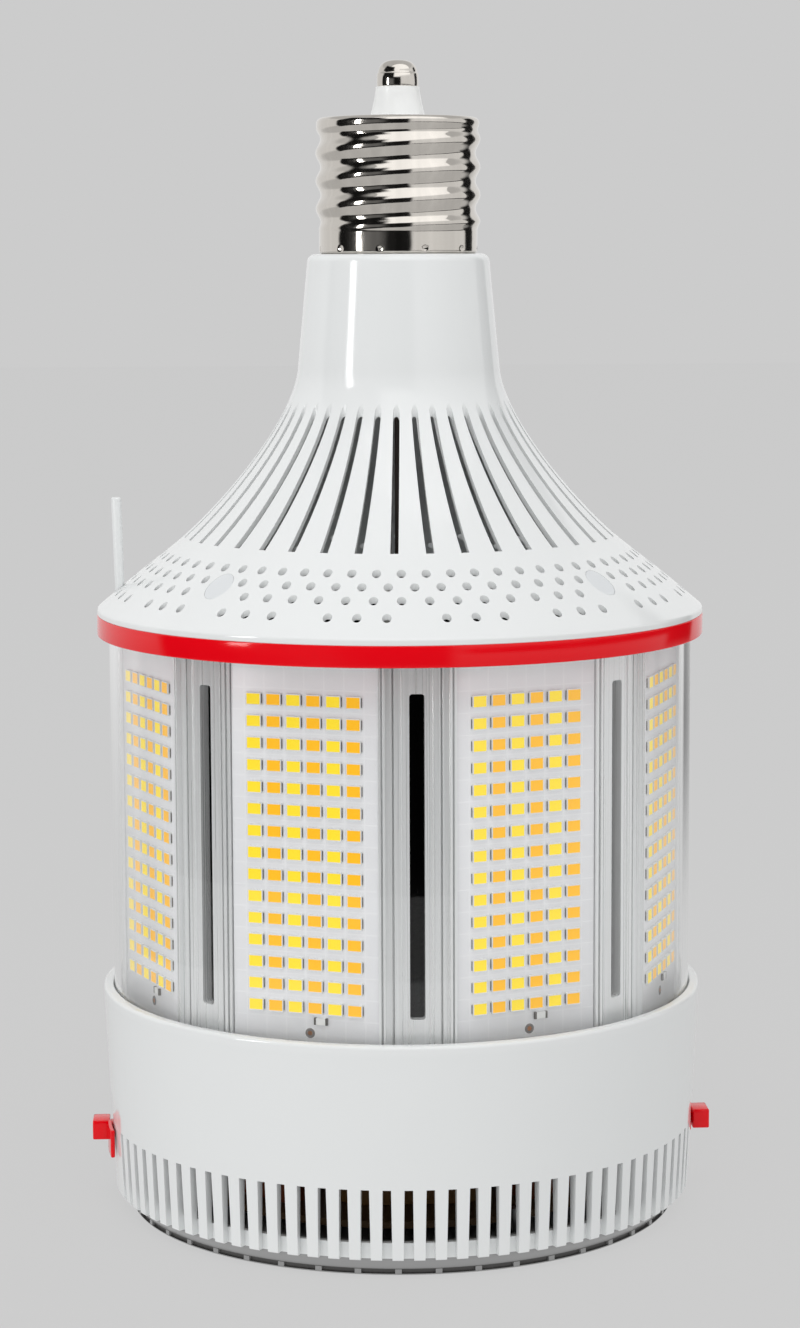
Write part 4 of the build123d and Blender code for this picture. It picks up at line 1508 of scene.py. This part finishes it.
@dataclass
class Studio:
    """Pale floor, soft light, cards for the mirrors and the camera."""

    grey: Colour = srgb(204, 204, 204)
    pale: Colour = (0.84, 0.84, 0.84)
    cloudy: Colour = (0.16, 0.16, 0.16)
    dark: Colour = (0.01, 0.01, 0.01)
    camera_place: Vector = field(default_factory=lambda: Vector((-42.4, -758.2, 227.98)) * MM)
    pitch: float = radians(-7.306)
    roll: float = radians(-0.24)
    lens: float = 86.08
    sensor: float = 36.0
    clip: Point = (0.01, 50.0)
    ambient: float = 0.67
    floor_half: float = 6.0
    floor_roughness: float = 0.9
    floor_flat: float = 0.9
    floor_glow: float = 0.75
    floor_match: float = 1.02
    card_steps: int = 48

    def __post_init__(self) -> None:
        """Find the direction from the axis to the camera."""
        self.facing = atan2(self.camera_place.y, self.camera_place.x)

    def seen(self, graph: Graph) -> NodeSocket:
        """Tell which rays show the background.

        Args:
            graph: tree that takes the nodes.

        Returns:
            A socket that is one for those rays.
        """
        path = graph.add("LightPath").outputs
        first = graph.maths("MAXIMUM", path["Is Camera Ray"], path["Is Glossy Ray"])
        return graph.maths("MAXIMUM", first, path["Is Transmission Ray"])

    def world(self) -> None:
        """Light the scene evenly and show a plain grey."""
        world = bpy.data.worlds.new("studio")
        bpy.context.scene.world = world
        world.use_nodes = True
        world.node_tree.nodes.clear()
        graph = Graph(world.node_tree)
        shown = graph.add("Background", {"Color": (*self.grey, 1.0), "Strength": 1.0})
        light = graph.add("Background", {"Color": WHITE, "Strength": self.ambient})
        graph.add("OutputWorld", {"Surface": graph.mix(self.seen(graph), light, shown).outputs[0]})

    def floor(self) -> None:
        """Lay a plain pale floor that keeps a little of the lamp's shadow."""
        bm = bmesh.new()
        bmesh.ops.create_grid(bm, x_segments=1, y_segments=1, size=self.floor_half)
        floor = link_mesh(bm, "floor")
        grey = (*self.grey, 1.0)
        matt = {"Base Color": grey, "Roughness": self.floor_roughness, "Specular IOR Level": 0.0}
        surface = Surface("floor_grey", matt)
        shown = surface.add("Emission", {"Color": grey, "Strength": self.floor_match})
        light = surface.add("Emission", {"Color": WHITE, "Strength": self.floor_glow})
        glow = surface.mix(self.seen(surface), light, shown)
        floor.data.materials.append(surface.show(surface.mix(self.floor_flat, surface.shader, glow)))

    def softbox(self, box: Softbox) -> None:
        """Hang a studio lamp that faces the lamp's axis.

        Args:
            box: place, size and power of the studio lamp.
        """
        light = bpy.data.lights.new(box.name, "AREA")
        light.shape = "ELLIPSE" if box.size[0] > box.size[1] else "RECTANGLE"
        light.size, light.size_y = box.size
        light.energy = box.power
        lamp = bpy.data.objects.new(box.name, light)
        lamp.visible_diffuse = box.rays == Rays.DIFFUSE
        lamp.visible_glossy = box.rays == Rays.GLOSS
        lamp.visible_transmission = False
        bpy.context.scene.collection.objects.link(lamp)
        lamp.location = (*polar(box.distance, 0, self.facing + radians(box.bearing)), box.height)
        lamp.rotation_euler = (Vector((0, 0, box.aim)) - lamp.location).to_track_quat("-Z", "Y").to_euler()

    def card(self, card: Card) -> None:
        """Stand a curved card with soft edges that only mirrors see.

        Args:
            card: place, reach and brightness of the card.
        """
        bm = bmesh.new()
        first = self.facing + radians(card.start)
        reach = radians(card.end - card.start)
        verts = [bm.verts.new((*polar(card.distance, 0, first), level)) for level in (card.low, card.high)]
        edge = bm.edges.new(verts)
        bmesh.ops.spin(
            bm, geom=verts + [edge], cent=(0, 0, 0), axis=(0, 0, 1), angle=reach, steps=self.card_steps
        )
        layer = bm.loops.layers.uv.new("card")
        for face in bm.faces:
            middle = face.calc_center_median()
            about = (atan2(middle.y, middle.x) - first) % FULL_TURN
            for loop in face.loops:
                spot = loop.vert.co
                step = (atan2(spot.y, spot.x) - first - about + pi) % FULL_TURN - pi
                loop[layer].uv = ((about + step) / reach, (spot.z - card.low) / (card.high - card.low))
        panel = link_mesh(bm, card.name)
        panel.data.materials.append(self.card_finish(card))
        for ray in ("camera", "diffuse", "transmission", "volume_scatter", "shadow"):
            setattr(panel, "visible_" + ray, False)

    def card_finish(self, card: Card) -> Material:
        """Make a glowing finish that fades out towards a card's edges.

        Args:
            card: brightness and soft edges of the card.

        Returns:
            The finish.
        """
        surface = Surface(card.name)
        shade = surface.add("Emission", {"Color": (*card.colour, 1.0), "Strength": 1.0})
        place = surface.add("UVMap", uv_map="card").outputs[0]
        parts = surface.add("SeparateXYZ", {0: place}).outputs
        sides = []
        for axis, soft in (("X", card.soft_side), ("Y", card.soft_end)):
            away = surface.maths("ABSOLUTE", surface.maths("SUBTRACT", parts[axis], 0.5))
            span = {"Value": away, "From Min": 0.5, "From Max": 0.5 - soft, "To Min": 0.0, "To Max": 1.0}
            sides.append(surface.add("MapRange", span, interpolation_type="SMOOTHSTEP").outputs[0])
        clear = surface.add("BsdfTransparent")
        return surface.show(surface.mix(surface.maths("MULTIPLY", *sides), clear, shade))

    def camera(self) -> None:
        """Set up the camera at the photograph's place."""
        data = bpy.data.cameras.new("camera")
        data.lens = self.lens
        data.sensor_width = self.sensor
        data.clip_start, data.clip_end = self.clip
        camera = bpy.data.objects.new("camera", data)
        bpy.context.scene.collection.objects.link(camera)
        turns = ((self.facing + QUARTER, "Z"), (QUARTER + self.pitch, "X"), (self.roll, "Z"))
        place = Matrix.Translation(self.camera_place)
        for angle, axis in turns:
            place = place @ Matrix.Rotation(angle, 4, axis)
        camera.matrix_world = place
        bpy.context.scene.camera = camera

    def build(self) -> None:
        """Set up light, floor and camera."""
        bpy.context.scene.view_settings.view_transform = "Standard"
        self.world()
        self.floor()
        for box in (
            Softbox("strip_left", -57, 0.45, 0.28, (0.06, 0.27), 0.55, 0.28, Rays.GLOSS),
            Softbox("panel_top", 20, 0.9, 1.2, (3.2, 1.6), 9.5, 0.15, Rays.GLOSS),
            Softbox("key_top", -5, 0.5, 1.4, (0.8, 0.8), 6.4, 0.15, Rays.DIFFUSE),
            Softbox("fill_left", -38, 0.52, 0.03, (0.4, 0.2), 0.38, 0.04, Rays.DIFFUSE),
        ):
            self.softbox(box)
        for card in (
            Card("card_pale", 12, 273, 0.6, 0.0, 0.7, self.pale, 0.02, 0.2),
            Card("card_front", -97, 21, 0.5, -0.08, 0.55, self.dark, 0.05, 0.15),
            Card("card_side", 110, 137, 0.5, 0.0, 0.55, self.dark, 0.12, 0.15),
            Card("card_low", 15, 140, 0.48, 0.10, 0.165, self.dark, 0.1, 0.3),
            Card("card_tall", -97, -15, 0.52, 0.3, 0.95, self.dark, 0.15, 0.25),
            Card("card_cloud", -70, -12, 0.47, 0.08, 0.45, self.cloudy, 0.3, 0.25),
        ):
            self.card(card)
        self.camera()


def main() -> None:
    """Build the lamp's looks in order and the studio around it."""
    logging.basicConfig(level=logging.INFO, format="%(relativeCreated)6d ms %(message)s")
    finishes = Finishes()
    for assembly in (ScrewBase, UpperHousing, LightCore, LowerSkirt, Driver):
        assembly(finishes).build()
    Studio().build()


if __name__ == "__main__":
    main()
